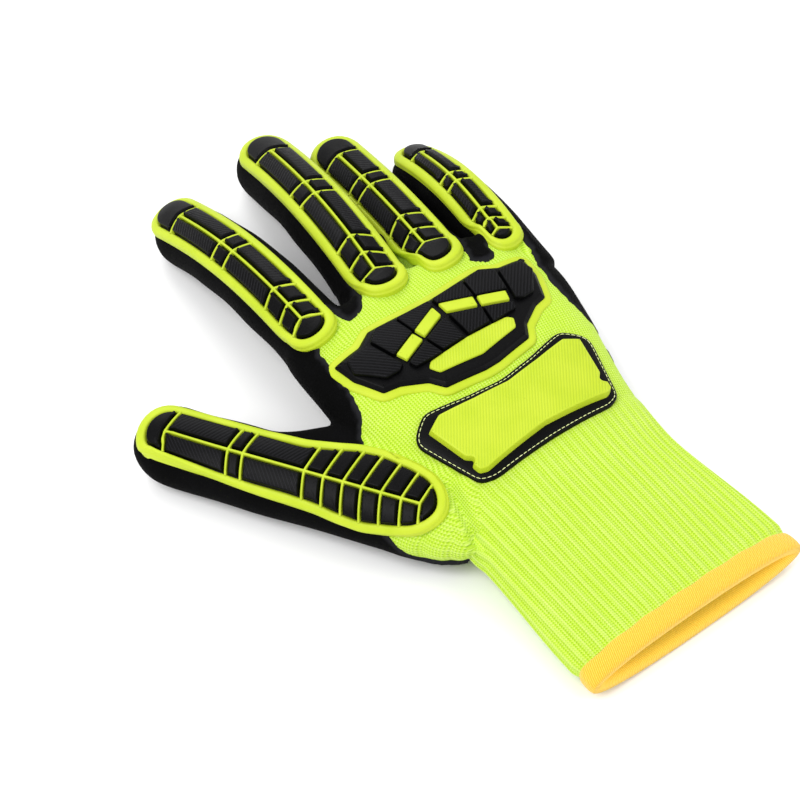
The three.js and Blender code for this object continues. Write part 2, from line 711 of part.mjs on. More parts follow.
// Blocks: a pair between every two bars and a rounded one at each end, on one thin sheet
function guardBlocks(plan) {
  const inset = RIM_WIDTH + GAP;
  const clear = LATTICE_WIDTH / 2 + GAP;
  // rows: places along, each with whether it leans back; the top is drawn in by the taper
  const strip = (rows, columns, sideAt, low, high, taper) => {
    const rings = rows.map(([u, leans], i) => {
      const pull = taper * (Number(i === 0) - Number(i === rows.length - 1));
      const spot = (column, height, drawn, shift) => {
        const side = (at) => sideAt(at, column, drawn);
        const [at, v] = leans ? plan.leaning(u, side) : [u, side(u)];
        return plan.place(at + shift, v, height);
      };
      const under = columns.map((column) => spot(column, low, 0, 0));
      const over = columns.map((column) => spot(column, high, taper, pull)).reverse();
      return [...under, ...over];
    });
    return solid(loft(rings));
  };
  const whole = (edge) => (u, column, drawn) => column * Math.max(plan.halfAt(u, column, edge) - drawn, drawn);
  const oneSide = (sign) => (u, column, drawn) =>
    sign * mix(clear + drawn, plan.halfAt(u, sign, inset + GAP) - drawn, column);
  const { bars, columns } = plan;
  const [first, last] = [bars[0], bars[bars.length - 1]];
  const atBase = (u) => u < first - plan.setBack(first) - clear - GAP;
  const atTip = (u) => u > last + clear + GAP;
  const between = plan.marks(0, []).filter((u) => bars.every((bar) => Math.abs(bar - u) > clear * 2));
  const inside = between.filter((u) => u > first && u < last);
  const sheetEnds = plan.marks(inset, END_MARKS).map((u) => [u, false]);
  const sheetRows = [
    ...sheetEnds.filter(([u]) => atBase(u)),
    ...[...bars, ...inside].sort((p, q) => p - q).map((u) => [u, true]),
    ...sheetEnds.filter(([u]) => atTip(u)),
  ];
  const sheet = strip(sheetRows, columns, whole(inset), SHEET_LIFT, SHEET_LIFT + SHEET_HEIGHT, 0);
  const low = SHEET_LIFT + SHEET_HEIGHT * 0.2;
  const block = (rows, across, sideAt) => strip(rows, across, sideAt, low, BLOCK_HEIGHT, BLOCK_TAPER);
  const ends = plan.marks(inset + GAP, END_MARKS).map((u) => [u, false]);
  const baseRows = [...ends.filter(([u]) => atBase(u)), [first - clear, true]];
  const tipRows = [[last + clear, true], ...ends.filter(([u]) => atTip(u))];
  const blocks = [baseRows, tipRows].map((rows) => block(rows, columns, whole(inset + GAP)));
  bars.slice(0, -1).forEach((bar, i) => {
    const [from, to] = [bar + clear, bars[i + 1] - clear];
    const rows = [from, ...inside.filter((u) => u > from && u < to), to].map((u) => [u, true]);
    const across = columns.filter((column) => column >= 0);
    [-1, 1].forEach((sign) => blocks.push(block(rows, across, oneSide(sign))));
  });
  return blocks.reduce((all, one) => all.add(one), sheet);
}

digits.forEach((d) => {
  const plan = guardPlan(d);
  addPiece(`${d.name}_frame`, guardFrame(plan), 'green_rubber');
  addPiece(`${d.name}_blocks`, guardBlocks(plan), 'black_rubber');
});

// Flat pieces on the back of the hand. Outlines hold shares of half the width and half the length,
// for the little finger's side; the other side mirrors them.
const PANEL_EDGE = [
  [0.000, 0.905],
  [0.190, 0.925],
  [0.590, 1.000],
  [0.745, 0.825],
  [0.880, 0.820],
  [1.000, 0.810],
  [0.970, 0.330],
  [0.856, -0.220],
  [0.721, -0.312],
  [0.520, -0.590],
  [0.437, -0.868],
  [0.070, -0.995],
];
const PANEL_BLOCKS = [
  [[0.910, 0.670], [0.686, 0.680], [0.596, -0.037], [0.650, -0.110], [0.770, -0.075], [0.934, 0.386]],
  [[0.369, 0.836], [0.544, 0.894], [0.655, 0.720], [0.596, 0.217], [0.338, 0.407]],
  [[0.024, 0.810], [0.343, 0.841], [0.314, 0.413], [0.024, 0.677]],
  [[0.307, 0.095], [0.544, -0.095], [0.520, -0.238], [0.272, -0.275]],
  [[0.026, 0.323], [0.284, 0.122], [0.243, -0.233], [0.026, -0.233]],
];
const PANEL_BARS = [
  [[0.338, 0.402], [0.584, 0.206], [0.546, -0.037], [0.307, 0.153]],
  [[0.028, 0.677], [0.317, 0.429], [0.284, 0.175], [0.026, 0.397]],
];
const PANEL_INLAY = [
  [0.000, -0.249],
  [0.402, -0.291],
  [0.449, -0.392],
  [0.402, -0.587],
  [0.000, -0.725],
];
const PATCH_EDGE = [
  [0.000, 0.660],
  [0.360, 0.760],
  [0.780, 0.985],
  [0.960, 0.720],
  [1.000, 0.540],
  [0.800, -0.860],
  [0.660, -1.000],
  [0.000, -0.970],
];
const PLATE_EDGE = [
  [0.000, 0.527],
  [0.360, 0.615],
  [0.700, 0.748],
  [0.860, 0.585],
  [0.770, -0.313],
  [0.715, -0.440],
  [0.765, -0.520],
  [0.750, -0.720],
  [0.680, -0.800],
  [0.000, -0.690],
];

function bothSides(half) {
  const other = half.filter(([x]) => x > 0).map(([x, y]) => [-x, y]).reverse();
  return [...half, ...other];
}

function onPanel([x, y]) {
  return [(x * PANEL_WIDTH) / 2 + PANEL_CENTRE_X, (y * PANEL_LENGTH) / 2 + PANEL_CENTRE_Y];
}

function onBadge([x, y]) {
  return [(x * BADGE_WIDTH) / 2 + BADGE_CENTRE_X, (y * BADGE_LENGTH) / 2 + BADGE_CENTRE_Y];
}

function mirrored(outline) {
  return outline.map(([x, y]) => [-x, y]).reverse();
}

const place = (x, y, h) => overSurface(handBase, x, y, h);

// Sheet that follows the hand: a strip across it, with its edges on an outline
function laidSheet(outline, low, high) {
  const spanAt = (x) => {
    const crossings = [];
    outline.forEach(([x0, y0], i) => {
      const [x1, y1] = outline[(i + 1) % outline.length];
      if ((x0 <= x && x1 > x) || (x1 <= x && x0 > x)) crossings.push(mix(y0, y1, (x - x0) / (x1 - x0)));
    });
    return [Math.min(...crossings), Math.max(...crossings)];
  };
  const xs = [...new Set(outline.map(([x]) => x))].sort((p, q) => p - q);
  const ends = [mix(xs[0], xs[1], 0.03), mix(xs[xs.length - 1], xs[xs.length - 2], 0.03)];
  const columns = [ends[0], ...xs.slice(1, -1), ends[1]];
  const rings = columns.map((x) => {
    const [y0, y1] = spanAt(x);
    const rows = [0, 0.5, 1].map((share) => mix(y0, y1, share));
    return [...rows.map((y) => place(x, y, low)), ...rows.reverse().map((y) => place(x, y, high))];
  });
  return solid(loft(rings));
}

const panelEdge = bothSides(PANEL_EDGE).map(onPanel);
const flangeInner = offsetOutline(panelEdge, GAP);
const flangeOuter = offsetOutline(panelEdge, FLANGE_WIDTH);
const flangeRings = flangeOuter.map(([x, y], i) => {
  const [u, v] = flangeInner[i];
  const high = HAND_LIFT + FLANGE_HEIGHT;
  return [place(x, y, HAND_LIFT), place(mix(x, u, 0.2), mix(y, v, 0.2), high), place(u, v, high), place(u, v, HAND_LIFT)];
});
addPiece('knuckle_flange', solid(loft(flangeRings, true)), 'green_rubber');

const panelTop = HAND_LIFT + PANEL_HEIGHT;
let panel = laidSheet(panelEdge, HAND_LIFT, panelTop);
PANEL_BLOCKS.flatMap((outline) => [outline, mirrored(outline)]).forEach((outline) => {
  const block = laidBlock(outline.map(onPanel), panelTop - PANEL_HEIGHT / 2, panelTop + PANEL_BLOCK_RISE, BLOCK_TAPER, place);
  panel = panel.add(block);
});
addPiece('knuckle_panel', panel, 'black_rubber');
const bars = PANEL_BARS.flatMap((outline) => [mirrored(outline), outline]).map((outline) => outline.map(onPanel));
['a', 'd', 'b', 'c'].forEach((letter, i) => {
  const outline = offsetOutline(bars[i], -GAP * 2);
  const bar = laidBlock(outline, panelTop + GAP, panelTop + GAP + BAR_HEIGHT, 0, place);
  addPiece(`knuckle_bar_${letter}`, bar, 'green_rubber');
});
const inlay = laidSheet(bothSides(PANEL_INLAY).map(onPanel), panelTop + GAP, panelTop + GAP + INLAY_HEIGHT);
addPiece('knuckle_crescent', inlay, 'green_rubber');

const patchTop = HAND_LIFT + PATCH_HEIGHT;
addPiece('badge_patch', laidSheet(bothSides(PATCH_EDGE).map(onBadge), HAND_LIFT, patchTop), 'black_rubber');
const plate = laidSheet(bothSides(PLATE_EDGE).map(onBadge), patchTop + GAP, patchTop + GAP + PLATE_HEIGHT);
addPiece('badge_plate', plate, 'green_rubber');

// The origin is under the middle of the glove, on the surface that it rests on
const bounds = new THREE.Box3().setFromObject(group);
const middle = bounds.getCenter(new THREE.Vector3());
group.position.set(-middle.x, -middle.y, -bounds.min.z);
group.updateMatrixWorld(true);

export default group;
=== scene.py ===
# %% [markdown]
# # An impact glove, dressed over its CAD frame
#
# The glove lies palm down: a knitted shell, a black dipped coating over the palm and the fingers,
# a ribbed cuff with an orange hem, and moulded rubber guards on its back. It could be sculpted by
# hand, but then no size could be read or changed. Here every piece is worked out from named sizes,
# at full detail, over the CAD solids, which stay behind it for collision.

# %% Open the frame and keep its box
import math

import bpy
import numpy as np
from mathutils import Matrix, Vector


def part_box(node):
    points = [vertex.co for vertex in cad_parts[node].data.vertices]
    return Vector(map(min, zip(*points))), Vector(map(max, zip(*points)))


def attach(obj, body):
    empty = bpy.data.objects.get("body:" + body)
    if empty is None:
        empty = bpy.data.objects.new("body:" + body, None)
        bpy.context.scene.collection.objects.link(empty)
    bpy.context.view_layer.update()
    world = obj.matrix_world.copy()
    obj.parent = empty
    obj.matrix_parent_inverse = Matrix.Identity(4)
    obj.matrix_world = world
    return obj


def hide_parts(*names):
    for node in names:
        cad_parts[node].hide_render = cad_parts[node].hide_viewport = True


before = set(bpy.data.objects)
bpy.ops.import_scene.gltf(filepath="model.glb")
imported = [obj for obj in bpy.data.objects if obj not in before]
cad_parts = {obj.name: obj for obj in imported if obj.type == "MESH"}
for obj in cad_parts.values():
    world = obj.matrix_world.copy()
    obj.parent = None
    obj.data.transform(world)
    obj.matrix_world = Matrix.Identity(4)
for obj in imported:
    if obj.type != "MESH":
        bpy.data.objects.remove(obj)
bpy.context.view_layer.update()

# %% [markdown]
# ## Where the glove lies
#
# All sizes below are millimetres in the glove's own axes: y runs from the cuff's open end to the
# fingertips, x towards the little finger, z up from the surface it lies on. The hem's box tells how
# far the frame is moved from there, so one shift takes every point into the frame, in metres.

# %% Shift from the glove's axes to the frame
HEM_SWELL = 0.7
hem_low, hem_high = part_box("cuff_hem")
SHIFT = np.array([(hem_low[0] + hem_high[0]) * 500, hem_low[1] * 1000, hem_low[2] * 1000 + HEM_SWELL])
print("shift in mm", SHIFT.round(2))


def to_frame(points):
    return (np.asarray(points, float) + SHIFT) / 1000


def smooth(t):
    t = np.clip(t, 0, 1)
    return t * t * (3 - 2 * t)


def mix(a, b, t):
    return a + (b - a) * t


# %% [markdown]
# ## The hand and its digits as measured forms
#
# The hand is a row of rounded sections, flat and wide at the cuff, deeper at the knuckles. Each
# digit is a curved tube with an oval section and a rounded end. These are the CAD's own numbers,
# but blended smoothly between the rows, because a worn knit has no edges there.

# %% Sections of the hand
HAND_LENGTH, PALM_WIDTH, PALM_HEIGHT, CUFF_LENGTH = 168.0, 106.0, 39.0, 62.0
# share of length, centre and half width in shares of the palm's width, bottom and top in shares
# of its height, slope of the back, squareness
HAND_SECTIONS = np.array([
    (0.00, 0.000, 0.443, 0.000, 0.430, 0.00, 2.3),
    (0.18, -0.009, 0.425, 0.000, 0.570, 0.00, 2.3),
    (0.36, -0.019, 0.408, 0.000, 0.718, 0.00, 2.3),
    (0.51, -0.014, 0.416, 0.026, 0.846, 0.00, 2.3),
    (0.65, 0.009, 0.462, 0.103, 0.944, -0.02, 2.4),
    (0.80, 0.028, 0.500, 0.205, 0.990, -0.04, 2.5),
    (0.92, 0.038, 0.500, 0.282, 0.974, -0.06, 2.6),
    (1.00, 0.038, 0.481, 0.333, 0.936, -0.06, 2.6),
])
HAND_SCALE = np.array([HAND_LENGTH, PALM_WIDTH, PALM_WIDTH, PALM_HEIGHT, PALM_HEIGHT, 1, 1])


def eased_table(rows, step, reach):
    """Columns of a table on a fine scale, with its corners eased over a distance."""
    at = np.arange(rows[0, 0], rows[-1, 0] + step / 2, step)
    half = max(int(reach / step), 1)
    window = np.hanning(2 * half + 1)
    window /= window.sum()
    columns = [at]
    for k in range(1, rows.shape[1]):
        line = np.interp(at, rows[:, 0], rows[:, k])
        padded = np.concatenate([2 * line[0] - line[half:0:-1], line, 2 * line[-1] - line[-2:-half - 2:-1]])
        columns.append(np.convolve(padded, window, mode="valid"))
    return np.stack(columns, 1)


HAND = eased_table(HAND_SECTIONS * HAND_SCALE, 1.0, 12)


def hand_at(y):
    return [np.interp(y, HAND[:, 0], HAND[:, k]) for k in range(1, 7)]


def hand_top(x, y):
    """Height of the back of the hand over a place in plan."""
    centre, half, low, high, slope, power = hand_at(y)
    across = np.clip(np.abs((x - centre) / half), 0, 1)
    return (low + high) / 2 + (high - low) / 2 * (1 - across**power) ** (1 / power) + slope * (x - centre)


def hand_rings(ys, count, lift=0.0):
    """Rings of points round the hand, evenly spaced, moved out by a lift that may change round it."""
    fine = np.linspace(0, 2 * np.pi, 721) - np.pi / 2
    c, s = np.cos(fine), np.sin(fine)
    rings = []
    for y in ys:
        centre, half, low, high, slope, power = hand_at(y)
        x = centre + half * np.sign(c) * np.abs(c) ** (2 / power)
        z = (low + high) / 2 + (high - low) / 2 * np.sign(s) * np.abs(s) ** (2 / power) + slope * (x - centre)
        run = np.concatenate([[0], np.cumsum(np.hypot(np.diff(x), np.diff(z)))])
        at = (np.arange(count) + 0.5) / count * run[-1]
        px, pz = np.interp(at, run, x), np.interp(at, run, z)
        ax, az = np.roll(px, -1) - np.roll(px, 1), np.roll(pz, -1) - np.roll(pz, 1)
        length = np.hypot(ax, az)
        out = lift(y, np.arange(count)) if callable(lift) else lift
        rings.append(np.stack([px + az / length * out, np.full(count, y), pz - ax / length * out], 1))
    return np.array(rings)


print("hand sections", HAND.shape, "top at the knuckles", round(float(hand_top(3.0, 135.0)), 1))

# %% The digits
# root, yaw, pitch at root and tip, length, half width at root and tip, half height at both,
# roll at root and tip
DIGITS = {
    "index": ((-34.2, 150.0, 26.7), 3.2, 3, -26.5, 113.5, (13.4, 12.0), (11.5, 10.0), -20, -16),
    "middle": ((-4.7, 152.0, 25.7), 10.6, 2.2, -23.2, 120.5, (13.0, 11.6), (11.5, 10.0), -7, -3),
    "ring": ((21.8, 150.0, 25.0), 8.9, -4.6, -17, 102.2, (11.9, 10.7), (11.2, 9.75), -21, -13),
    "little": ((48.0, 145.0, 20.0), 6.7, 8, -30, 86.0, (11.5, 10.3), (10.4, 9.05), -24, 9),
    "thumb": ((-35.0, 64.0, 17.5), -29.1, -3, -3, 134.0, (14.3, 14.3), (12.0, 10.4), -20, -17),
}
# how far the thumb's web stands out, and the length of its rounded heel
THUMB_WEB, THUMB_HEEL = 10.0, 21.5
# fall of the back in front of the knuckles, width of a bridged crease, squareness of a fingertip
FRONT_FALL, CREASE_BRIDGE, TIP_POWER = 0.8, 5.0, 2.9
# length of the rounded tip on the back, and what the palm side adds, in half widths
TIP_REACH, PALM_REACH = 1.05, 0.85


class Digit:
    """A curved tube with an oval section: places on its skin by distance, angle or arc length."""

    def __init__(self, name):
        root, yaw, pitch0, pitch1, self.length, self.half, self.rise, *roll = DIGITS[name]
        self.name, self.is_thumb = name, name == "thumb"
        self.at = np.linspace(0, self.length, 241)
        pitch = np.radians(mix(pitch0, pitch1, smooth(self.at / self.length)))
        turn = math.radians(yaw)
        along = np.stack([math.sin(turn) * np.cos(pitch), math.cos(turn) * np.cos(pitch), np.sin(pitch)], 1)
        steps = (along[1:] + along[:-1]) / 2 * np.diff(self.at)[:, None]
        self.line = np.array(root) + np.concatenate([[np.zeros(3)], np.cumsum(steps, 0)])
        side = np.cross(along, [0, 0, 1.0])
        side /= np.linalg.norm(side, axis=1)[:, None]
        back = np.cross(side, along)
        turned = np.radians(mix(*roll, self.at / self.length))[:, None]
        cos, sin = np.cos(turned), np.sin(turned)
        self.side, self.back = side * cos - back * sin, back * cos + side * sin

    def take(self, values, u):
        return np.stack([np.interp(u, self.at, values[:, k]) for k in range(3)], -1)

    def half_at(self, u, towards):
        web = THUMB_WEB * (1 - smooth((u / self.length - 0.45) / 0.22)) if self.is_thumb else 0
        return mix(*self.half, u / self.length) + np.where(towards > 0, web, 0)

    def rise_at(self, u):
        return mix(*self.rise, u / self.length)

    def skin(self, u, angle, grow=0.0):
        """Point of the skin at a distance from the root and an angle, 90 degrees being the back."""
        c, s = np.cos(angle), np.sin(angle)
        cap = self.half[1] * (TIP_REACH + PALM_REACH * np.maximum(-s, 0))
        into = np.clip((u - (self.length - cap)) / cap, 0, 1)
        power = 2 + (TIP_POWER - 2) * smooth(s)
        size = (1 - into**power) ** (1 / power)
        if self.is_thumb:
            heel = np.maximum(THUMB_HEEL - u, 0) / THUMB_HEEL
            size = size * np.sqrt(np.maximum(1 - heel**2, 0))
        web = smooth((c + 0.15) / 0.6)
        half = self.half_at(u, -1.0) + (self.half_at(u, 1.0) - self.half_at(u, -1.0)) * web
        across = ((half + grow) * size * c)[..., None] * self.take(self.side, u)
        over = ((self.rise_at(u) + grow) * size * s)[..., None] * self.take(self.back, u)
        return self.take(self.line, u) + across + over

    def back_at(self, u, v):
        """Point of the back at an arc length v across it, draped over the hand where that is higher."""
        u = np.minimum(u, self.length * 0.996)
        half, rise = self.half_at(u, v), self.rise_at(u)
        angle = np.zeros_like(u * v)
        for _ in range(20):
            angle = angle + v / 20 / np.hypot(half * np.cos(angle), rise * np.sin(angle))
        into = np.clip((u - self.length) / (self.half[1] * TIP_REACH) + 1, 0, 1)
        over = (1 - into**TIP_POWER) ** (1 / TIP_POWER)
        p = self.take(self.line, u) + (half * np.sin(angle))[..., None] * self.take(self.side, u)
        p = p + (rise * np.cos(angle) * over)[..., None] * self.take(self.back, u)
        x, y = p[..., 0], p[..., 1]
        centre, width = hand_at(np.minimum(y, HAND_LENGTH))[:2]
        ease = smooth((1 - np.abs(x - centre) / width) / 0.05)
        fall = np.maximum(y - (HAND_LENGTH - 1.75), 0) * FRONT_FALL
        drape = hand_top(x, np.minimum(y, HAND_LENGTH)) - fall - (1 - ease) * 12
        share = np.clip(0.5 + (drape - p[..., 2]) / (2 * CREASE_BRIDGE), 0, 1)
        height = mix(p[..., 2], drape, share) + CREASE_BRIDGE * share * (1 - share)
        return np.stack([x, y, height], -1)


def laid(base, u, v, height):
    """Points over a base surface, moved out along its own normal."""
    step = 0.4
    p = base(u, v)
    normal = np.cross(base(u + step, v) - base(u - step, v), base(u, v + step) - base(u, v - step))
    normal /= np.maximum(np.linalg.norm(normal, axis=-1), 1e-9)[..., None]
    normal *= np.where(normal[..., 2] < 0, -1, 1)[..., None]
    return p + normal * np.asarray(height)[..., None]


def on_hand(x, y):
    return np.stack([x, y, hand_top(x, y)], -1)


digits = {name: Digit(name) for name in DIGITS}
print({name: digit.line[-1].round(0).tolist() for name, digit in digits.items()})

# %% [markdown]
# ## Small tools for meshes
#
# Almost every piece is a grid of points bent into a tube, a band or a cap. Modifiers could bend
# plain shapes too, but a grid also keeps named numbers at each point, such as where it lies in the
# knit, and the materials read them back. So one class turns grids into a mesh.

# %% Grids into meshes


def linked(name, data):
    made = bpy.data.objects.new(name, data)
    bpy.context.scene.collection.objects.link(made)
    return made


def keep_marks(mesh, marks):
    """Keeps named numbers at the points of a mesh."""
    for key, values in marks.items():
        numbers = np.asarray(values, np.float32)
        mesh.attributes.new(key, "FLOAT", "POINT").data.foreach_set("value", numbers)


def finished(mesh, name, material):
    mesh.polygons.foreach_set("use_smooth", [True] * len(mesh.polygons))
    mesh.update()
    mesh.materials.append(material)
    print(name, len(mesh.vertices), "points,", sum(len(p.vertices) - 2 for p in mesh.polygons), "triangles")
    return linked(name, mesh)


class Builder:
    """Collects grids of points as quads, with named numbers for each point."""

    def __init__(self):
        self.points, self.faces, self.marks, self.count = [], [], {}, 0

    def grid(self, points, wrap_rows=False, wrap_columns=False, close=(), **marks):
        rows, columns = points.shape[:2]
        start = self.count
        self.points.append(points.reshape(-1, 3))
        index = start + np.arange(rows * columns).reshape(rows, columns)
        if wrap_rows:
            index = np.concatenate([index, index[:1]])
        if wrap_columns:
            index = np.concatenate([index, index[:, :1]], 1)
        quads = np.stack([index[:-1, :-1], index[:-1, 1:], index[1:, 1:], index[1:, :-1]], -1)
        self.faces.extend(quads.reshape(-1, 4).tolist())
        for end in close:
            ring = index[0, :columns] if end == 0 else index[-1, :columns][::-1]
            self.faces.append(ring[::-1].tolist())
        for key, value in marks.items():
            self.marks.setdefault(key, []).append((start, np.broadcast_to(value, (rows, columns)).reshape(-1)))
        self.count += rows * columns

    def build(self, name, material, turned=False):
        mesh = bpy.data.meshes.new(name)
        faces = [face[::-1] for face in self.faces] if turned else self.faces
        mesh.from_pydata(to_frame(np.concatenate(self.points)).tolist(), [], faces)
        marks = {key: np.zeros(self.count) for key in self.marks}
        for key, runs in self.marks.items():
            for start, values in runs:
                marks[key][start:start + len(values)] = values
        keep_marks(mesh, marks)
        return finished(mesh, name, material)


def placed(piece, slot, *nodes):
    """Rides with the glove and stands for its CAD nodes; the slot is not used."""
    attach(piece, "root")
    if nodes:
        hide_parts(*nodes)


strip = Builder()
strip.grid(np.zeros((3, 4, 3)))
print("a grid of 3 by 4 points gives", len(strip.faces), "quads")

# %% [markdown]
# ## Shader sums written as Python
#
# A material is a graph of nodes. It could be linked node by node, but then the sum that it works out
# is hard to read. So a socket is wrapped, and + - * on it build the math nodes. Colours and vectors
# go through Mix and Vector Math, as a math node turns them grey, and any other node is one call.

# %% Sockets that Python can add up


class Socket:
    """A node's output: sums with it add their own math nodes."""

    def __init__(self, shader, out):
        self.shader, self.out = shader, out

    def math(self, operation, *others):
        return self.shader.node("ShaderNodeMath", {"operation": operation}, self, *others)

    def __add__(self, other):
        return self.math("ADD", other)

    def __sub__(self, other):
        return self.math("SUBTRACT", other)

    def __mul__(self, other):
        return self.math("MULTIPLY", other)

    def __rsub__(self, other):
        return self.shader.node("ShaderNodeMath", {"operation": "SUBTRACT"}, other, self)

    __radd__ = __add__
    __rmul__ = __mul__

    def wave(self, period):
        """A sine that repeats after a length."""
        return (self * (2 * math.pi / period)).math("SINE")

    def ramp(self, low, high):
        """0 below low, 1 above high, smooth between."""
        settings = {"interpolation_type": "SMOOTHSTEP"}
        return self.shader.node("ShaderNodeMapRange", settings, self, low, high, 0.0, 1.0)


class Shader:
    """A material whose surface is one Principled node."""

    def __init__(self, name):
        self.material = bpy.data.materials.new(name)
        self.material.use_nodes = True
        self.tree = self.material.node_tree
        self.surface = self.tree.nodes["Principled BSDF"]

    def feed(self, socket, value):
        """Links a socket, or sets its number or its colour."""
        if isinstance(value, Socket):
            self.tree.links.new(value.out, socket)
        else:
            is_colour = isinstance(value, tuple) and len(value) == 3
            socket.default_value = (*value, 1.0) if is_colour else value

    def node(self, kind, settings, *values, out=0, **named):
        """Any node: its settings first, then its open inputs in order or by name."""
        made = self.tree.nodes.new(kind)
        for key, value in settings.items():
            setattr(made, key, value)
        for socket, value in zip([s for s in made.inputs if s.enabled], values):
            self.feed(socket, value)
        for key, value in named.items():
            self.feed(made.inputs[key], value)
        return Socket(self, [s for s in made.outputs if s.enabled][out])

    def mark(self, name):
        return self.node("ShaderNodeAttribute", {"attribute_name": name}, out=2)

    def noise(self, scale, detail=2.0):
        """Noise in the object's own coordinates, in millimetres."""
        at = self.node("ShaderNodeTexCoord", {}, out=3)
        place = self.node("ShaderNodeVectorMath", {"operation": "SCALE"}, at, Scale=1000.0)
        return self.node("ShaderNodeTexNoise", {}, Vector=place, Scale=scale, Detail=detail)

    def blend(self, a, b, share):
        return self.node("ShaderNodeMix", {"data_type": "RGBA"}, share, a, b)

    def set(self, **values):
        for key, value in values.items():
            self.feed(self.surface.inputs[key.replace("_", " ")], value)

    def bump(self, height, distance, strength):
        self.set(Normal=self.node("ShaderNodeBump", {}, Height=height, Distance=distance, Strength=strength))

    def painted_glow_inside(self, colour):
        """A painted glow (emission) where the mark says inside, standing in for the daylight that comes through
        thin cloth.
        """
        self.set(Emission_Color=self.blend((0, 0, 0), colour, self.mark("inside")), Emission_Strength=0.2)


def rgb(text, share=1.0):
    """A colour written as in a paint program, as the linear numbers that light works with."""
    values = [int(text[i:i + 2], 16) / 255 for i in (0, 2, 4)]
    return tuple(share * (v / 12.92 if v <= 0.04045 else ((v + 0.055) / 1.055) ** 2.4) for v in values)


print("mid grey 808080 in light's numbers", np.round(rgb("808080"), 3))

# %% [markdown]
# ## The knit
#
# A fine machine knit in fluorescent yellow-green. Columns of small slanted stitches run along the
# hand about a millimetre apart, and paler threads of the core yarn show between them. The gaps
# between the stitches are painted a darker green, as painted shade. In the cuff the columns gather
# into ribs whose crests are painted paler, as a painted highlight, beside deeper, greener grooves.
# Real loops would take millions of faces, so two crossed waves draw the stitches from the numbers
# kept at each point.

# %% Knit of the hand
# KNIT_DEEP is the painted shade colour that fills the gaps between stitches
KNIT_DEEP, KNIT_MAIN, KNIT_PALE = rgb("BAE529", 0.73), rgb("CDF03E", 0.75), rgb("E6F894", 0.79)
CLOTH = {"Specular_IOR_Level": 0.2, "Sheen_Weight": 0.25, "Sheen_Roughness": 0.5}
STITCH_ACROSS, STITCH_ALONG = 1.25, 0.95


def knit_material():
    m = Shader("hi-vis knit")
    across, along, rib = m.mark("across"), m.mark("along"), m.mark("rib")
    column = across.wave(STITCH_ACROSS)
    slant = (along * (2 * math.pi / STITCH_ALONG) + column * 1.2).math("SINE")
    stitch = column * 0.5 + slant * 0.5
    speckle, patch = m.noise(1.6, 3.0), m.noise(0.08)
    pale = (stitch + (speckle - 0.5) * 2.4 + (patch - 0.5) * 0.8).ramp(-0.2, 1.3)
    # painted shade: KNIT_DEEP where the stitch wave is low, in the gaps between stitches
    base = m.blend(KNIT_DEEP, KNIT_MAIN, (stitch * 0.7 + 0.6).ramp(0.0, 1.0))
    threads = m.blend(base, KNIT_PALE, pale * 0.55)
    # painted shade: a darker green in the deepest gaps between stitches
    gap_shade = m.blend(threads, rgb("8CB414", 0.7), (stitch * -1.0).ramp(0.45, 0.9) * 0.4)
    # painted highlight: the crests of the cuff's ribs are painted paler than the grooves
    crest = m.blend(gap_shade, KNIT_PALE, (rib * 0.5 + 0.1).ramp(0.1, 0.75) * 0.34)
    m.set(Base_Color=crest, Roughness=0.85, Sheen_Tint=rgb("E9FFB0"), **CLOTH)
    # painted glow on the knit's inner walls, in place of light through the cloth
    m.painted_glow_inside(KNIT_MAIN)
    m.bump(stitch * 0.5 + speckle * 0.3 + rib * 0.4, 0.00028, 0.8)
    return m.material


knit = knit_material()
print(knit.name, len(knit.node_tree.nodes), "nodes")

# %% [markdown]
# ## The dipped coating
#
# Sandy nitrile foam: matte black with a fine grain. The grain is too fine to model, so noise drives
# its bump and its colour, with small pale specks painted in as glints where the grain would catch
# the light. It is dipped over the shell and ends in a slightly raised, uneven edge, painted paler by
# the distance kept at each point, as a painted sheen on that rolled lip.

# %% Coating


def coating_material():
    m = Shader("sandy nitrile")
    grain, speck, cloud = m.noise(2.6, 4.0), m.noise(5.0), m.noise(0.05)
    edge = m.mark("coat").ramp(2.2, 0.2)
    base = m.blend(rgb("020202"), rgb("060607"), (grain + cloud - 0.5).ramp(0.3, 0.8))
    # painted glints: small pale grey specks where the sandy grain would catch the light
    speck_glints = m.blend(base, rgb("1E1E21"), speck.ramp(0.6, 0.82) * 0.6)
    # painted sheen: the coating is painted paler within about two millimetres of the dip line, on its rolled
    # lip
    edge_sheen = m.blend(speck_glints, rgb("2A2A2E"), edge * 0.6)
    m.set(Base_Color=edge_sheen, Roughness=grain * 0.2 + 0.7, Specular_IOR_Level=0.045)
    m.bump(grain * 0.7 + speck * 0.3, 0.00035, 0.75)
    return m.material


coating = coating_material()
print(coating.name, len(coating.node_tree.nodes), "nodes")

# %% [markdown]
# ## Moulded rubber and the hem's thread
#
# The guards are soft thermoplastic rubber: a bright green frame with a satin skin, and black blocks,
# the long ones with slanted grip lines pressed into their tops. The lines could be cut into the
# mesh, but they are a fraction of a millimetre deep, so a wave in the bump draws them. Their colour
# is painted too: darker on the green, as painted shade in the lines, and paler on the black, as a
# painted highlight. The hem is overlocked with a thick orange-yellow thread, whose slanted turns are
# such a wave too.

# %% Rubbers and threads
HATCH, GRIP, THREAD_TURN = 1.25, 1.5, 0.85


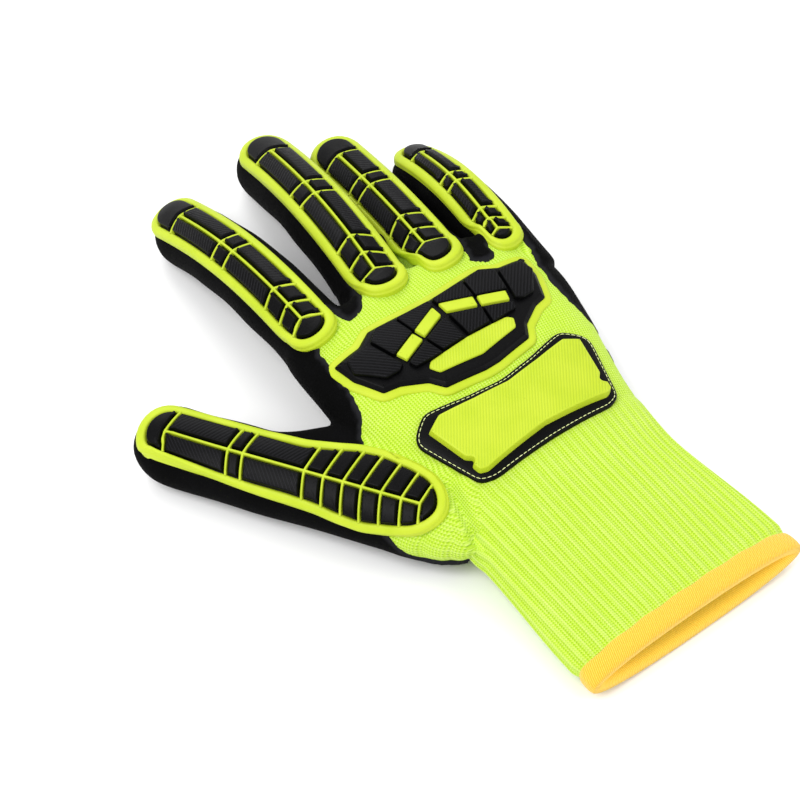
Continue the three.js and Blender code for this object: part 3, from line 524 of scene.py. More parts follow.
def green_material():
    m = Shader("bright green rubber")
    tone, fine, lines = m.noise(0.09), m.noise(2.2, 3.0), m.mark("lines")
    base = m.blend(rgb("D5ED2B", 0.63), rgb("DEF336", 0.63), tone.ramp(0.3, 0.7))
    hatch = m.mark("slant").wave(HATCH)
    # painted shade: the slanted grip lines are painted darker green
    pressed_line_shade = m.blend(base, rgb("B4D62A", 0.62), hatch.ramp(0.1, 0.9) * lines * 0.6)
    m.set(Base_Color=pressed_line_shade, Roughness=fine * 0.16 + 0.42, Specular_IOR_Level=0.25)
    m.bump(fine * 0.25 + hatch * lines * 0.6, 0.00018, 0.7)
    return m.material


def black_material():
    m = Shader("black rubber")
    fine, lines = m.noise(1.8, 3.0), m.mark("lines")
    groove = m.mark("slant").wave(GRIP).ramp(-0.2, 0.5)
    base = m.blend(rgb("020203"), rgb("060607"), fine.ramp(0.3, 0.7))
    # painted highlight: the raised grip lines are painted a lighter grey
    grip_highlight = m.blend(base, rgb("18181B"), groove * lines * 0.7)
    m.set(Base_Color=grip_highlight, Roughness=fine * 0.2 + 0.3, Specular_IOR_Level=0.085)
    m.bump(groove * lines * 0.8 + fine * 0.15, 0.00030, 0.85)
    return m.material


def hem_material():
    m = Shader("overlock thread")
    turn = (m.mark("across") + m.mark("along") * 0.45).wave(THREAD_TURN)
    fuzz = m.noise(2.4, 3.0)
    base = m.blend(rgb("F2B929", 0.84), rgb("FFDD55", 0.84), (turn * 0.5 + fuzz).ramp(0.1, 1.1))
    m.set(Base_Color=base, Roughness=0.82, **CLOTH)
    # painted glow on the hem's inner side, in place of light through the thread
    m.painted_glow_inside(rgb("F6C83C"))
    m.bump(turn * 0.6 + fuzz * 0.5, 0.00022, 0.7)
    return m.material


def thread_material():
    m = Shader("stitching thread")
    twist = m.noise(3.0)
    m.set(Base_Color=m.blend(rgb("CFDC84"), rgb("EDF3BE"), twist.ramp(0.3, 0.7)), Roughness=0.7)
    m.bump(twist, 0.0001, 0.5)
    return m.material


RUBBER = {"green_rubber": green_material(), "black_rubber": black_material()}
orange, thread = hem_material(), thread_material()
print([(m.name, len(m.node_tree.nodes)) for m in (*RUBBER.values(), orange, thread)])

# %% [markdown]
# ## The glove's skin
#
# The hand and the digits are first closed forms that run into each other. Boolean unions would leave
# sharp joints, so a voxel remesh joins them into one skin of even points, and smoothing turns the
# joints into the webs between real fingers, which is how a seamless knit bridges them.

# %% Six closed forms
TIP_ZONE = 24.0  # length of a digit's end with closer rings


def digit_stations(digit):
    """Distances of the rings along a digit, closer where its ends are round."""
    end = 1 - np.cos(np.linspace(0, 1, 26) * np.pi / 2)
    last = digit.length - TIP_ZONE
    if digit.is_thumb:
        heel = 0.15 + THUMB_HEEL * end[::2][:-1]
        straight = np.concatenate([heel, np.linspace(THUMB_HEEL, last, 50)[:-1]])
    else:
        straight = np.linspace(0.0, last, 60)[:-1]
    return np.concatenate([straight, digit.length - TIP_ZONE * end[::-1] - 0.02])


def joined_form():
    made = Builder()
    front = HAND_LENGTH - 5
    body = [hand_rings(np.linspace(CUFF_LENGTH - 8, front, 60), 120)]
    for into, shrink in ((1.6, 0.35), (3.0, 1.2), (4.0, 2.6), (4.6, 4.6)):
        body.append(hand_rings([front + into], 120, -shrink))
    made.grid(np.concatenate(body), wrap_columns=True, close=(0, 1))
    angle = (np.arange(64) + 0.5) / 64 * 2 * np.pi
    for digit in digits.values():
        u, a = np.meshgrid(digit_stations(digit), angle, indexing="ij")
        made.grid(digit.skin(u, a), wrap_columns=True, close=(0, 1))
    return made.build("glove form", knit)


form = joined_form()

# %% One skin from six forms
VOXEL = 1.15


def through(source, *modifiers):
    """A new mesh that is the source after some modifiers."""
    for kind, settings in modifiers:
        modifier = source.modifiers.new(kind, kind)
        for key, value in settings.items():
            setattr(modifier, key, value)
    mesh = bpy.data.meshes.new_from_object(source.evaluated_get(bpy.context.evaluated_depsgraph_get()))
    bpy.data.objects.remove(source)
    return mesh


def points_of(mesh):
    flat = np.empty(len(mesh.vertices) * 3, np.float32)
    mesh.vertices.foreach_get("co", flat)
    return flat.reshape(-1, 3).astype(float) * 1000 - SHIFT


skin_mesh = through(form, ("REMESH", {"mode": "VOXEL", "voxel_size": VOXEL / 1000}))
skin = linked("glove skin", skin_mesh)
spots = points_of(skin_mesh)
# share of the extra smoothing: round the finger joints, and round the thumb's
web = smooth((14 - np.abs(spots[:, 1] - HAND_LENGTH)) / 10) * (spots[:, 0] > -52)
thumb_joint = digits["thumb"].line[None, 60:110:10, :2]
from_thumb = np.linalg.norm(spots[:, None, :2] - thumb_joint, axis=2).min(1)
by_thumb = smooth((22 - np.abs(from_thumb - 12)) / 12)
web = np.maximum(web, by_thumb * smooth((spots[:, 0] + 66) / 10) * (spots[:, 0] < -30))
weights = skin.vertex_groups.new(name="webs")
for level in range(1, 6):
    weights.add(np.nonzero(np.round(web * 5) == level)[0].tolist(), level / 5, "REPLACE")
skin_mesh = through(
    skin,
    ("SMOOTH", {"factor": 0.5, "iterations": 5}),
    ("SMOOTH", {"factor": 0.5, "iterations": 14, "vertex_group": "webs"}),
)
print("skin", len(skin_mesh.vertices), "points")

# %% [markdown]
# ## Where the coating ends
#
# On the back the dip line runs round the knuckles, leaves the back of the hand bare and comes down
# its sides. On the palm it starts short of the wrist. It could be painted on as a mask, but a
# coating has a thickness. So a signed distance to that line, in millimetres, is kept at every point:
# the knit stops under it and the coating rises out of it.

# %% Distance to the dip line
KNIT_EDGE = np.array([
    (-42.0, 135.4), (-41.5, 145.0), (-41.0, 152.0), (-38.0, 160.0), (-33.0, 166.0), (-28.0, 168.0),
    (-25.8, 165.0), (-25.7, 161.5), (-24.0, 157.9), (-20.2, 158.2), (-15.8, 160.9), (-11.4, 168.2),
    (-4.6, 187.0), (14.0, 185.0), (27.0, 174.0), (32.0, 171.5), (33.5, 167.0), (30.2, 161.2),
    (28.6, 155.4), (30.8, 152.6), (33.8, 150.8), (37.6, 152.8), (39.1, 157.4), (42.0, 162.0),
    (50.0, 162.0), (53.0, 157.0), (51.4, 149.0), (48.1, 139.6), (47.0, 130.2), (46.7, 122.6),
    (47.2, 116.6), (48.1, 112.1), (51.0, 107.0), (56.0, 101.0), (76.0, 94.0), (76.0, 30.0),
    (-90.0, 30.0), (-90.0, 82.0), (-62.0, 95.0), (-52.0, 114.0), (-48.4, 120.7), (-44.3, 126.9),
])
# height of the line on the sides, and where the palm's coating starts
SPLIT_HEIGHT, COAT_START = 21.0, 84.0


def outline_distance(x, y, outline):
    """Distance to a closed outline, negative inside it."""
    best = np.full(len(x), 1e9)
    inside = np.zeros(len(x), bool)
    for (x0, y0), (x1, y1) in zip(outline, np.roll(outline, -1, 0)):
        dx, dy = x1 - x0, y1 - y0
        t = np.clip(((x - x0) * dx + (y - y0) * dy) / (dx * dx + dy * dy), 0, 1)
        best = np.minimum(best, np.hypot(x - x0 - dx * t, y - y0 - dy * t))
        crosses = (y0 > y) != (y1 > y)
        inside ^= crosses & (x < x0 + (y - y0) * dx / (dy if dy else 1e-9))
    return np.where(inside, -best, best)


def ripple(p, length, seed):
    """Gentle unevenness from a few fixed waves, between about -1 and 1."""
    rng = np.random.default_rng(seed)
    total = np.zeros(len(p))
    for _ in range(7):
        way = rng.normal(size=3)
        way /= np.linalg.norm(way)
        total += np.sin(p @ way * 2 * np.pi / (length * rng.uniform(0.7, 1.5)) + rng.uniform(0, 6.3))
    return total / 3.5


def coat_distance(p):
    """Positive in the coating, negative in the bare knit."""
    x, y, z = p.T
    uneven = ripple(p, 5.0, 3) * 0.45 + ripple(p, 2.2, 4) * 0.25
    thumb_side = smooth((-34 - x) / 16)
    split = SPLIT_HEIGHT - 6 * smooth((96 - y) / 20) - 6 * thumb_side * smooth((92 - y) / 14)
    back = np.minimum(-outline_distance(x, y, KNIT_EDGE), z - split)
    wrist = COAT_START - y - 23 * thumb_side + 1.5 * np.sin(x / 14)
    return -np.maximum(back, wrist) + uneven


print("dip line round the back:", len(KNIT_EDGE), "points")

# %% Way round the hand


def round_hand(points):
    """Share of the way round the hand, from the middle of the palm by the little finger to it again."""
    centre, half, low, high, slope, power = hand_at(np.clip(points[:, 1], 0, HAND_LENGTH))
    across = (points[:, 0] - centre) / half
    over = (points[:, 2] - (low + high) / 2 - slope * (points[:, 0] - centre)) / ((high - low) / 2)
    angle = np.arctan2(
        np.sign(over) * np.abs(over) ** (power / 2), np.sign(across) * np.abs(across) ** (power / 2))
    angle = (angle + np.pi / 2) % (2 * np.pi)
    fine = np.linspace(0, 2 * np.pi, 361)
    share = np.zeros(len(points))
    band = np.clip((points[:, 1] / 4).astype(int), 0, int(HAND_LENGTH / 4))
    for k in np.unique(band):
        c, h, bottom, top, _, p = hand_at(k * 4.0 + 2)
        x = h * np.sign(np.sin(fine)) * np.abs(np.sin(fine)) ** (2 / p)
        z = (top - bottom) / 2 * np.sign(-np.cos(fine)) * np.abs(np.cos(fine)) ** (2 / p)
        run = np.concatenate([[0], np.cumsum(np.hypot(np.diff(x), np.diff(z)))])
        share[band == k] = np.interp(angle[band == k], fine, run / run[-1])
    return share


print("way round at the middle of the back", round_hand(np.array([[-1.0, 100.0, 35.0]])).round(2))

# %% Folds, and how far each layer moves along its normals
# lines of the folds between the thumb and the cuff: both ends in plan, depth, half width
FOLDS = np.array([
    (-38, 90, -45, 57, 3.0, 2.2), (-62, 75, -45, 84, 1.1, 2.0), (-64, 86, -46, 93, 1.0, 2.0),
    (-40, 84, -22, 91, 0.7, 2.2), (-38, 71, -14, 75, 0.7, 2.4), (-57, 66, -46, 72, 0.8, 1.8),
])
# ribs round the cuff, where they end, and the way round the hand in millimetres
RIBS, RIB_END, AROUND = 54, 84.0, 230.0


def folds(p):
    total = np.zeros(len(p))
    above = smooth((p[:, 2] - 6) / 8)
    for x0, y0, x1, y1, depth, width in FOLDS:
        length = math.hypot(x1 - x0, y1 - y0)
        way = np.array([x1 - x0, y1 - y0]) / length
        beside = (p[:, 0] - x0) * way[1] - (p[:, 1] - y0) * way[0]
        at = ((p[:, 0] - x0) * way[0] + (p[:, 1] - y0) * way[1]) / length
        total += depth * np.exp(-(beside / width) ** 2) * smooth(at * 4) * smooth((1 - at) * 4) * above
    return total


def knit_move(p, coat):
    beside = np.maximum(smooth((p[:, 0] + 50) / 8), smooth((80 - p[:, 1]) / 6))
    under_cuff = 0.75 * smooth((RIB_END - p[:, 1]) / 12) * beside
    return ripple(p, 18.0, 1) * 0.2 - 0.25 * smooth(coat / 2) - under_cuff - folds(p)


def coat_move(p, coat):
    coated = smooth((coat + 0.9) / 1.6)
    rolled = 0.8 * np.exp(-(((coat - 2.2) / 1.7) ** 2)) * smooth((p[:, 1] - 140) / 12)
    lift = mix(-0.7, 0.45, coated) + (rolled + 0.5 * smooth((92 - p[:, 1]) / 8) * coated)
    return ripple(p, 18.0, 1) * 0.2 + ripple(p, 30.0, 2) * 0.2 + lift - folds(p) * 0.4


print(len(FOLDS), "folds, the deepest", FOLDS[:, 4].max(), "mm")

# %% Knit and coating out of the skin


def skin_part(name, material, keep, move, slot, nodes):
    """Part of the skin: the faces where keep is true, with its points moved along their normals."""
    points = points_of(skin_mesh)
    normals = np.empty(len(skin_mesh.vertices) * 3, np.float32)
    skin_mesh.vertex_normals.foreach_get("vector", normals)
    coat = coat_distance(points)
    corner = np.array([list(p.vertices) for p in skin_mesh.polygons if len(p.vertices) == 4])
    corner = corner[keep(points, coat)[corner].all(1)]
    used = np.unique(corner)
    order = np.full(len(points), -1)
    order[used] = np.arange(len(used))
    moved = (points + normals.reshape(-1, 3) * move(points, coat)[:, None])[used]
    mesh = bpy.data.meshes.new(name)
    mesh.from_pydata(to_frame(moved).tolist(), [], order[corner].tolist())
    share = round_hand(moved)
    rib = np.cos(share * RIBS * 2 * np.pi) * smooth((RIB_END + 8 - moved[:, 1]) / 26)
    keep_marks(mesh, {"coat": coat[used], "across": share * AROUND, "along": moved[:, 1], "rib": rib})
    placed(finished(mesh, name, material), slot, *nodes)


skin_part(
    "knitted_hand", knit, lambda p, coat: (coat < 5) & (p[:, 1] > CUFF_LENGTH + 1), knit_move,
    "knit", ["knit_hand"])
skin_part(
    "dipped_coating", coating, lambda p, coat: coat > -1.6, coat_move,
    "nitrile", ["nitrile_palm"] + [name + "_finger" for name in digits])

# %% [markdown]
# ## The ribbed cuff
#
# Fifty-odd ribs run along it: rows of plain stitches that stand up beside rows that sink, so it can
# stretch over the hand. They start under the hem, narrow at the wrist and melt into the hand's knit.
# An array of rods would look pleated, so the ribs are a wave in the rings of the cuff itself.

# %% Cuff
RIB_HEIGHT, CUFF_WALL = 0.4, 1.4
# the hem's length, and how far it swells outside and inside
HEM_LENGTH, HEM_OUT, HEM_IN = 7.6, 1.55, 4.2


def cuff_piece():
    count = RIBS * 10
    ys = np.linspace(HEM_LENGTH * 0.5, RIB_END + 2, 78)
    phase = np.arange(count) / count * RIBS * 2 * np.pi

    def lift(y, i):
        fade = smooth((RIB_END - 3 - y) / 22)
        from_hem = smooth((y - HEM_LENGTH * 0.8) / 5)
        wave = np.cos(phase) * RIB_HEIGHT * fade
        sway = 0.35 * np.sin(phase / 13 + y / 17.0) + 0.3 * np.sin(phase / 27 - y / 11.0)
        into_knit = mix(-0.7, 0.15, smooth((RIB_END - y) / 9))
        return (wave + sway * fade) * from_hem + into_knit - 0.5 * (1 - from_hem)

    outer = hand_rings(ys, count, lift)
    outer[..., 2] -= folds(outer.reshape(-1, 3)).reshape(outer.shape[:2])
    inner = hand_rings(ys[::-1], count, lambda y, i: -CUFF_WALL + 0.25 * np.cos(phase))
    crest = np.cos(phase)[None]
    arc = (phase / (2 * np.pi) / RIBS * AROUND)[None]
    rib = crest * smooth((RIB_END + 8 - ys) / 26)[:, None]
    made = Builder()
    made.grid(outer, wrap_columns=True, rib=rib, across=arc, along=ys[:, None])
    # inside=1.0 marks this inner wall for the knit's painted glow
    made.grid(inner, wrap_columns=True, rib=crest * 0.5, across=arc, along=ys[::-1][:, None], inside=1.0)
    placed(made.build("ribbed_cuff", knit, turned=True), "knit", "rib_cuff")


cuff_piece()

# %% [markdown]
# ## The hem
#
# The thread wraps the cuff's raw edge in a soft round band. Its free side is thick where the thread
# turns over, and small uneven bites show where each stitch holds the knit. A curve with a round
# bevel would be equally thick all round, so rings of the cuff's own section follow an oval profile.

# %% Hem


def hem_piece():
    count = 480
    ys, lifts = [], []
    for angle in np.linspace(0, 2 * np.pi, 26, endpoint=False):
        c, s = math.cos(angle), math.sin(angle)
        ys.append(HEM_LENGTH * (0.5 - 0.52 * math.copysign(abs(c) ** 0.75, c)))
        lifts.append(-CUFF_WALL / 2 + (HEM_OUT if s > 0 else HEM_IN) * math.copysign(abs(s) ** 0.8, s))
    turn = np.arange(count) / count * 2 * np.pi
    bite = 0.08 * np.sin(turn * 150) + 0.12 * np.sin(turn * 9)
    rings = []
    for y, lift in zip(ys, lifts):
        ring = hand_rings([max(y, 0.0)], count, lift + bite * (1 if lift > 0 else -0.3))[0]
        ring[:, 1] = y + 0.22 * np.sin(turn * 14) * (y > HEM_LENGTH * 0.7)
        rings.append(np.concatenate([ring, ring[:1]]))
    arc = (np.arange(count + 1) / count * AROUND)[None]
    # the inside mark is where the hem gets its painted glow
    inside = smooth(-np.array(lifts) - CUFF_WALL / 2)[:, None]
    made = Builder()
    made.grid(np.array(rings), wrap_rows=True, across=arc, along=np.array(ys)[:, None], inside=inside)
    placed(made.build("hem_band", orange), "hem", "cuff_hem")


hem_piece()

# %% [markdown]
# ## Guards on the fingers and the thumb
#
# Each guard is one moulding in two colours. A frame runs round it, with a low outer lip where it
# is sewn down and a raised inner ridge. A thin lattice, a spine with slanted bars, parts the black
# blocks, which stand a little higher, with drawn-in sides. The thumb's guard widens into a leaf.
# Flat plates pressed on by a modifier would slide on such tight curves. So each place is a distance
# along the digit and an arc length across it, and is laid on the skin with its own height.

# %% Plan of a guard
GUARD_WIDTH, THUMB_GUARD_WIDTH, RIM_WIDTH = 21.0, 24.0, 3.9
# how far the bars lean back at their ends, and by how much more near the finger's base
CHEVRON, BASE_SLOPE, BASE_BARS = 1.9, 0.55, 0.42
# width share, base and tip end of the frame, then its bars, as shares of the digit's length
GUARDS = {
    "index": (0.96, 0.047, 0.985, (0.159, 0.230, 0.307, 0.525, 0.590, 0.838)),
    "middle": (1.0, 0.052, 0.962, (0.157, 0.228, 0.305, 0.524, 0.590, 0.825)),
    "ring": (1.02, 0.046, 0.973, (0.198, 0.281, 0.369, 0.586, 0.650, 0.826)),
    "little": (0.8, 0.090, 0.977, (0.202, 0.263, 0.330, 0.514, 0.575, 0.820)),
    "thumb": (1.02, 0.120, 0.985, (0.193, 0.244, 0.300, 0.354, 0.405, 0.459, 0.513, 0.685, 0.727, 0.906)),
}
# along the thumb, half width on its outer and its inner side, in shares of the guard's width
LEAF = eased_table(np.array([
    (0.00, 0.30, 0.34), (0.10, 0.30, 0.34), (0.16, 0.40, 0.46), (0.24, 0.52, 0.60), (0.33, 0.60, 0.68),
    (0.40, 0.57, 0.66), (0.46, 0.52, 0.58), (0.54, 0.50, 0.50), (1.00, 0.50, 0.50),
]), 0.01, 0.03)


class Guard:
    def __init__(self, digit):
        self.digit = digit
        share, base, tip, bars = GUARDS[digit.name]
        self.width = share * (THUMB_GUARD_WIDTH if digit.is_thumb else GUARD_WIDTH)
        self.start, self.end = base * digit.length, tip * digit.length
        self.bars = np.array(bars) * digit.length
        self.reach = self.width / 2 - RIM_WIDTH

    def round(self, inset):
        return self.width * 0.42 - inset * 0.6

    def half(self, u, towards, inset):
        u, wide = np.asarray(u, float), 0.5
        if self.digit.is_thumb:
            wide = np.interp(u / self.digit.length, LEAF[:, 0], LEAF[:, 2 if towards > 0 else 1])
        size = 1.0
        for distance in (u, self.end + self.start - u):
            into = np.clip((distance - (self.end - inset - self.round(inset))) / self.round(inset), 0, 1)
            size = np.minimum(size, np.sqrt(1 - into**2))
        return (wide * self.width - inset) * size

    def outline(self, inset, ends=9, middle=70):
        """Closed outline of places (u, v), drawn in by an inset, with the same count at any inset."""
        cap = (1 - np.cos(np.linspace(0, 1, ends) * np.pi / 2)) * self.round(inset)
        low, high = self.start + inset, self.end - inset
        flank = np.linspace(low + cap[-1], high - cap[-1], middle)[1:-1]
        run = np.concatenate([low + cap, flank, high - cap[::-1]])
        right = np.stack([run, self.half(run, 1, inset)], 1)
        left = np.stack([run, -self.half(run, -1, inset)], 1)[::-1][1:-1]
        return np.concatenate([right, left])

    def lay(self, u, v, height):
        return laid(self.digit.back_at, u, v, height)

    def slope(self, u):
        steep = not self.digit.is_thumb and u < BASE_BARS * self.digit.length
        return BASE_SLOPE if steep else CHEVRON / self.reach

    def edge(self, sign, inset, extra=0.0):
        """The half width on one side, as a function of the distance alone."""
        return lambda u: float(sign * (self.half(u, sign, inset) + extra))

    def leaning(self, u, edge):
        """Place where a row that leans back from the middle meets an edge."""
        v = edge(u - self.slope(u) * abs(edge(u - self.slope(u) * self.reach)))
        return u - self.slope(u) * abs(v), v


guards = [Guard(digit) for digit in digits.values()]
print({guard.digit.name: [round(guard.start, 1), round(guard.end, 1)] for guard in guards})

# %% Frame of a guard: lip, ridge, spine and bars
LATTICE_WIDTH = 0.95
# from the outer edge to the inner one: share of the rim's width, height
RIM_PROFILE = np.array([
    (0.00, -1.6), (0.00, 0.7), (0.05, 1.05), (0.13, 1.2), (0.18, 1.6), (0.25, 2.1), (0.36, 2.4), (0.58, 2.5),
    (0.84, 2.45), (0.95, 2.2), (1.00, 1.7), (1.00, 0.2),
])
BAR_PROFILE = np.array([
    (-0.5, 0.2), (-0.5, 2.05), (-0.36, 2.4), (0.0, 2.5), (0.36, 2.4), (0.5, 2.05), (0.5, 0.2),
])


def rim_grid(guard, made):
    outer, inner = guard.outline(0.0), guard.outline(RIM_WIDTH)
    share = RIM_PROFILE[:, 0][None, :]
    u = mix(outer[:, :1], inner[:, :1], share)
    v = mix(outer[:, 1:], inner[:, 1:], share)
    height = np.broadcast_to(RIM_PROFILE[:, 1][None, :], u.shape)
    made.grid(guard.lay(u, v, height), wrap_rows=True)


def bar_grid(guard, made, path):
    """A small rounded bar along a path of places (u, v)."""
    way = np.gradient(path, axis=0)
    way /= np.linalg.norm(way, axis=1)[:, None]
    u = path[:, :1] - way[:, 1:] * BAR_PROFILE[:, 0][None] * LATTICE_WIDTH
    v = path[:, 1:] + way[:, :1] * BAR_PROFILE[:, 0][None] * LATTICE_WIDTH
    height = np.broadcast_to(BAR_PROFILE[:, 1][None], u.shape)
    made.grid(guard.lay(u, v, height))


def guard_frame(guard):
    made = Builder()
    rim_grid(guard, made)
    spine = np.linspace(guard.bars[0], guard.bars[-1], 60)
    bar_grid(guard, made, np.stack([spine, np.zeros(60)], 1))
    for bar in guard.bars:
        for sign in (-1, 1):
            u, v = guard.leaning(bar, guard.edge(sign, RIM_WIDTH, 0.3))
            bar_grid(guard, made, np.stack([np.linspace(bar, u, 9), np.linspace(0, v, 9)], 1))
    name = guard.digit.name
    placed(made.build(name + "_guard_frame", RUBBER["green_rubber"]), "green_rubber", name + "_frame")


for guard in guards:
    guard_frame(guard)

# %% Caps with bevelled edges
# shares at which the outline is repeated inside a top, down to its middle
INNER = (0.75, 0.5, 0.25, 0.02)
FILL = (0.9, 0.78, 0.66, 0.54, 0.42, 0.3, 0.18, 0.06, 0.005)


def dense(outline, spacing=0.35, soften=2):
    """An outline resampled evenly, with its corners slightly rounded."""
    outline = np.asarray(outline, float)
    closed = np.concatenate([outline, outline[:1]])
    run = np.concatenate([[0], np.cumsum(np.hypot(*np.diff(closed, axis=0).T))])
    count = max(int(run[-1] / spacing), 24)
    at = np.linspace(0, run[-1], count, endpoint=False)
    ring = np.stack([np.interp(at, run, closed[:, k]) for k in (0, 1)], 1)
    for _ in range(soften):
        ring = (np.roll(ring, 1, 0) + ring * 2 + np.roll(ring, -1, 0)) / 4
    return ring


def drawn_in(ring, distance):
    way = np.roll(ring, -1, 0) - np.roll(ring, 1, 0)
    way /= np.maximum(np.linalg.norm(way, axis=1), 1e-9)[:, None]
    area = np.sum(ring[:, 0] * np.roll(ring[:, 1], -1) - np.roll(ring[:, 0], -1) * ring[:, 1])
    normal = np.stack([way[:, 1], -way[:, 0]], 1) * np.sign(area)
    return ring - normal * distance


def cap_grid(made, lay, ring, profile, inner, lines=0.0, slant=lambda u, v: u + 0.9 * np.abs(v)):
    """A piece with an outline: its side follows a profile of (inset, height), its top is filled."""
    rings, heights = [], []
    for inset, height in profile:
        rings.append(drawn_in(ring, inset))
        heights.append(np.full(len(ring), height))
    last = rings[-1]
    middle = last.mean(0)
    for share in inner:
        for _ in range(4):
            last = (np.roll(last, 6, 0) + last * 2 + np.roll(last, -6, 0)) / 4
        rings.append(middle + (last - middle) * share)
        heights.append(np.full(len(ring), profile[-1][1]))
    places, height = np.array(rings), np.array(heights)
    flat_top = np.concatenate([np.zeros(len(profile) - 1), np.ones(len(inner) + 1)])
    points = lay(places[..., 0], places[..., 1], height)
    marks = {"slant": slant(places[..., 0], places[..., 1]), "lines": (flat_top * lines)[:, None]}
    made.grid(points, wrap_columns=True, **marks)


print("a 10 mm square is resampled to", len(dense([(0, 0), (10, 0), (10, 10), (0, 10)])), "points")

# %% Blocks of the guards
BLOCK_PROFILE = [(0.0, 0.3), (0.04, 1.3), (0.1, 1.5), (0.62, 2.9), (0.7, 3.03), (0.82, 3.09), (1.1, 3.1)]
SHEET_HEIGHT, GRIP_LENGTH = 0.75, 12  # height of the sheet that joins them; longer ones have grip lines


def guard_blocks(guard):
    made = Builder()
    inset = RIM_WIDTH - 0.1
    run = np.linspace(guard.start + inset, guard.end - inset, 90)[1:-1]
    share = np.linspace(-1, 1, 13)[None]
    u = np.repeat(run[:, None], share.size, 1)
    v = np.where(share < 0, guard.half(run, -1, inset)[:, None], guard.half(run, 1, inset)[:, None]) * share
    made.grid(guard.lay(u, v, np.full(u.shape, SHEET_HEIGHT)))
    clear, side = LATTICE_WIDTH / 2 + 0.25, RIM_WIDTH + 0.35
    for low, high in zip(guard.bars[:-1], guard.bars[1:]):
        for sign in (-1, 1):
            edge = guard.edge(sign, side)
            first, last = guard.leaning(low + clear, edge), guard.leaning(high - clear, edge)
            outer = [(at, edge(at)) for at in np.linspace(first[0], last[0], 6)]
            corners = [(low + clear, clear * sign), *outer, (high - clear, clear * sign)]
            cap_grid(made, guard.lay, dense(corners), BLOCK_PROFILE, INNER, float(high - low > GRIP_LENGTH))
    first, last = guard.bars[0] - clear, guard.bars[-1] + clear
    outline = guard.outline(side)
    at_base = outline[:, 0] < first - guard.slope(first) * guard.reach - 0.2
    for bar, kept, way in ((first, at_base, -1), (last, outline[:, 0] > last + 0.3, 1)):
        ends = [guard.leaning(bar, guard.edge(sign, side)) for sign in (-1, 1)]
        arc = outline[kept]
        arc = arc[np.argsort(np.arctan2(arc[:, 1], (arc[:, 0] - bar) * way))]
        cap_grid(made, guard.lay, dense([ends[0], *arc, ends[1], (bar, 0.0)]), BLOCK_PROFILE, INNER)
    name = guard.digit.name
    placed(made.build(name + "_guard_blocks", RUBBER["black_rubber"]), "black_rubber", name + "_blocks")


for guard in guards:
    guard_blocks(guard)

# %% [markdown]
# ## Knuckle panel
#
# A wide black shield follows the knuckles, sewn to the hand through a green flange. Its blocks have
# fine grip lines, and four green bars in a chevron and a plain green crescent are moulded into it.
# It could be carved out of one slab. Drawing each outline flat, one half only, and laying it over
# the hand is closer to how its mould is cut, and both halves match.

# %% Plans of the plates
# shares of half the width and half the length, for the little finger's side; the other is mirrored
PANEL_EDGE = [(0.0, 0.905), (0.19, 0.925), (0.59, 1.0), (0.745, 0.825), (0.88, 0.82), (1.0, 0.81), (0.97, 0.33),
              (0.856, -0.22), (0.721, -0.312), (0.52, -0.59), (0.437, -0.868), (0.07, -0.995)]
PANEL_BLOCKS = [
    [(0.91, 0.67), (0.686, 0.68), (0.596, -0.037), (0.65, -0.11), (0.77, -0.075), (0.934, 0.386)],
    [(0.369, 0.836), (0.544, 0.894), (0.655, 0.72), (0.596, 0.217), (0.338, 0.407)],
    [(0.024, 0.81), (0.343, 0.841), (0.314, 0.413), (0.024, 0.677)],
    [(0.307, 0.095), (0.544, -0.095), (0.52, -0.238), (0.272, -0.275)],
    [(0.026, 0.323), (0.284, 0.122), (0.243, -0.233), (0.026, -0.233)],
]
PANEL_BARS = [[(0.338, 0.402), (0.584, 0.206), (0.546, -0.037), (0.307, 0.153)],
              [(0.028, 0.677), (0.317, 0.429), (0.284, 0.175), (0.026, 0.397)]]
PANEL_INLAY = [(0.0, -0.249), (0.402, -0.291), (0.449, -0.392), (0.402, -0.587), (0.0, -0.725)]
PATCH_EDGE = [(0.0, 0.66), (0.36, 0.76), (0.78, 0.985), (0.96, 0.72), (1.0, 0.54), (0.8, -0.86), (0.66, -1.0),
              (0.0, -0.97)]
PLATE_EDGE = [(0.0, 0.527), (0.36, 0.615), (0.7, 0.748), (0.86, 0.585), (0.77, -0.313), (0.715, -0.44),
              (0.765, -0.52), (0.75, -0.72), (0.68, -0.8), (0.0, -0.69)]
# width, length and centre
PANEL = (84.6, 37.8, 1.5, 129.7)
BADGE = (78.0, 34.5, 0.4, 93.4)


def both_sides(half):
    return half + [(-x, y) for x, y in half if x > 0][::-1]


def mirrored(outline):
    return [(-x, y) for x, y in outline][::-1]


def scaled(outline, plate):
    width, length, x0, y0 = plate
    return np.array([(x * width / 2 + x0, y * length / 2 + y0) for x, y in outline])


def over_hand(x, y, height):
    return laid(on_hand, x, y, height)


def plate_piece(name, slot, nodes, outlines, profile, lines=0.0, soften=4):
    made = Builder()
    for outline in outlines:
        ring = dense(outline, 0.5, soften)
        cap_grid(made, over_hand, ring, profile, FILL, lines, lambda u, v: u - 0.75 * v)
    placed(made.build(name, RUBBER[slot]), slot, *nodes)


panel_edge = scaled(both_sides(PANEL_EDGE), PANEL)
print("panel", np.ptp(panel_edge, 0).round(1), "mm, badge", BADGE[:2])

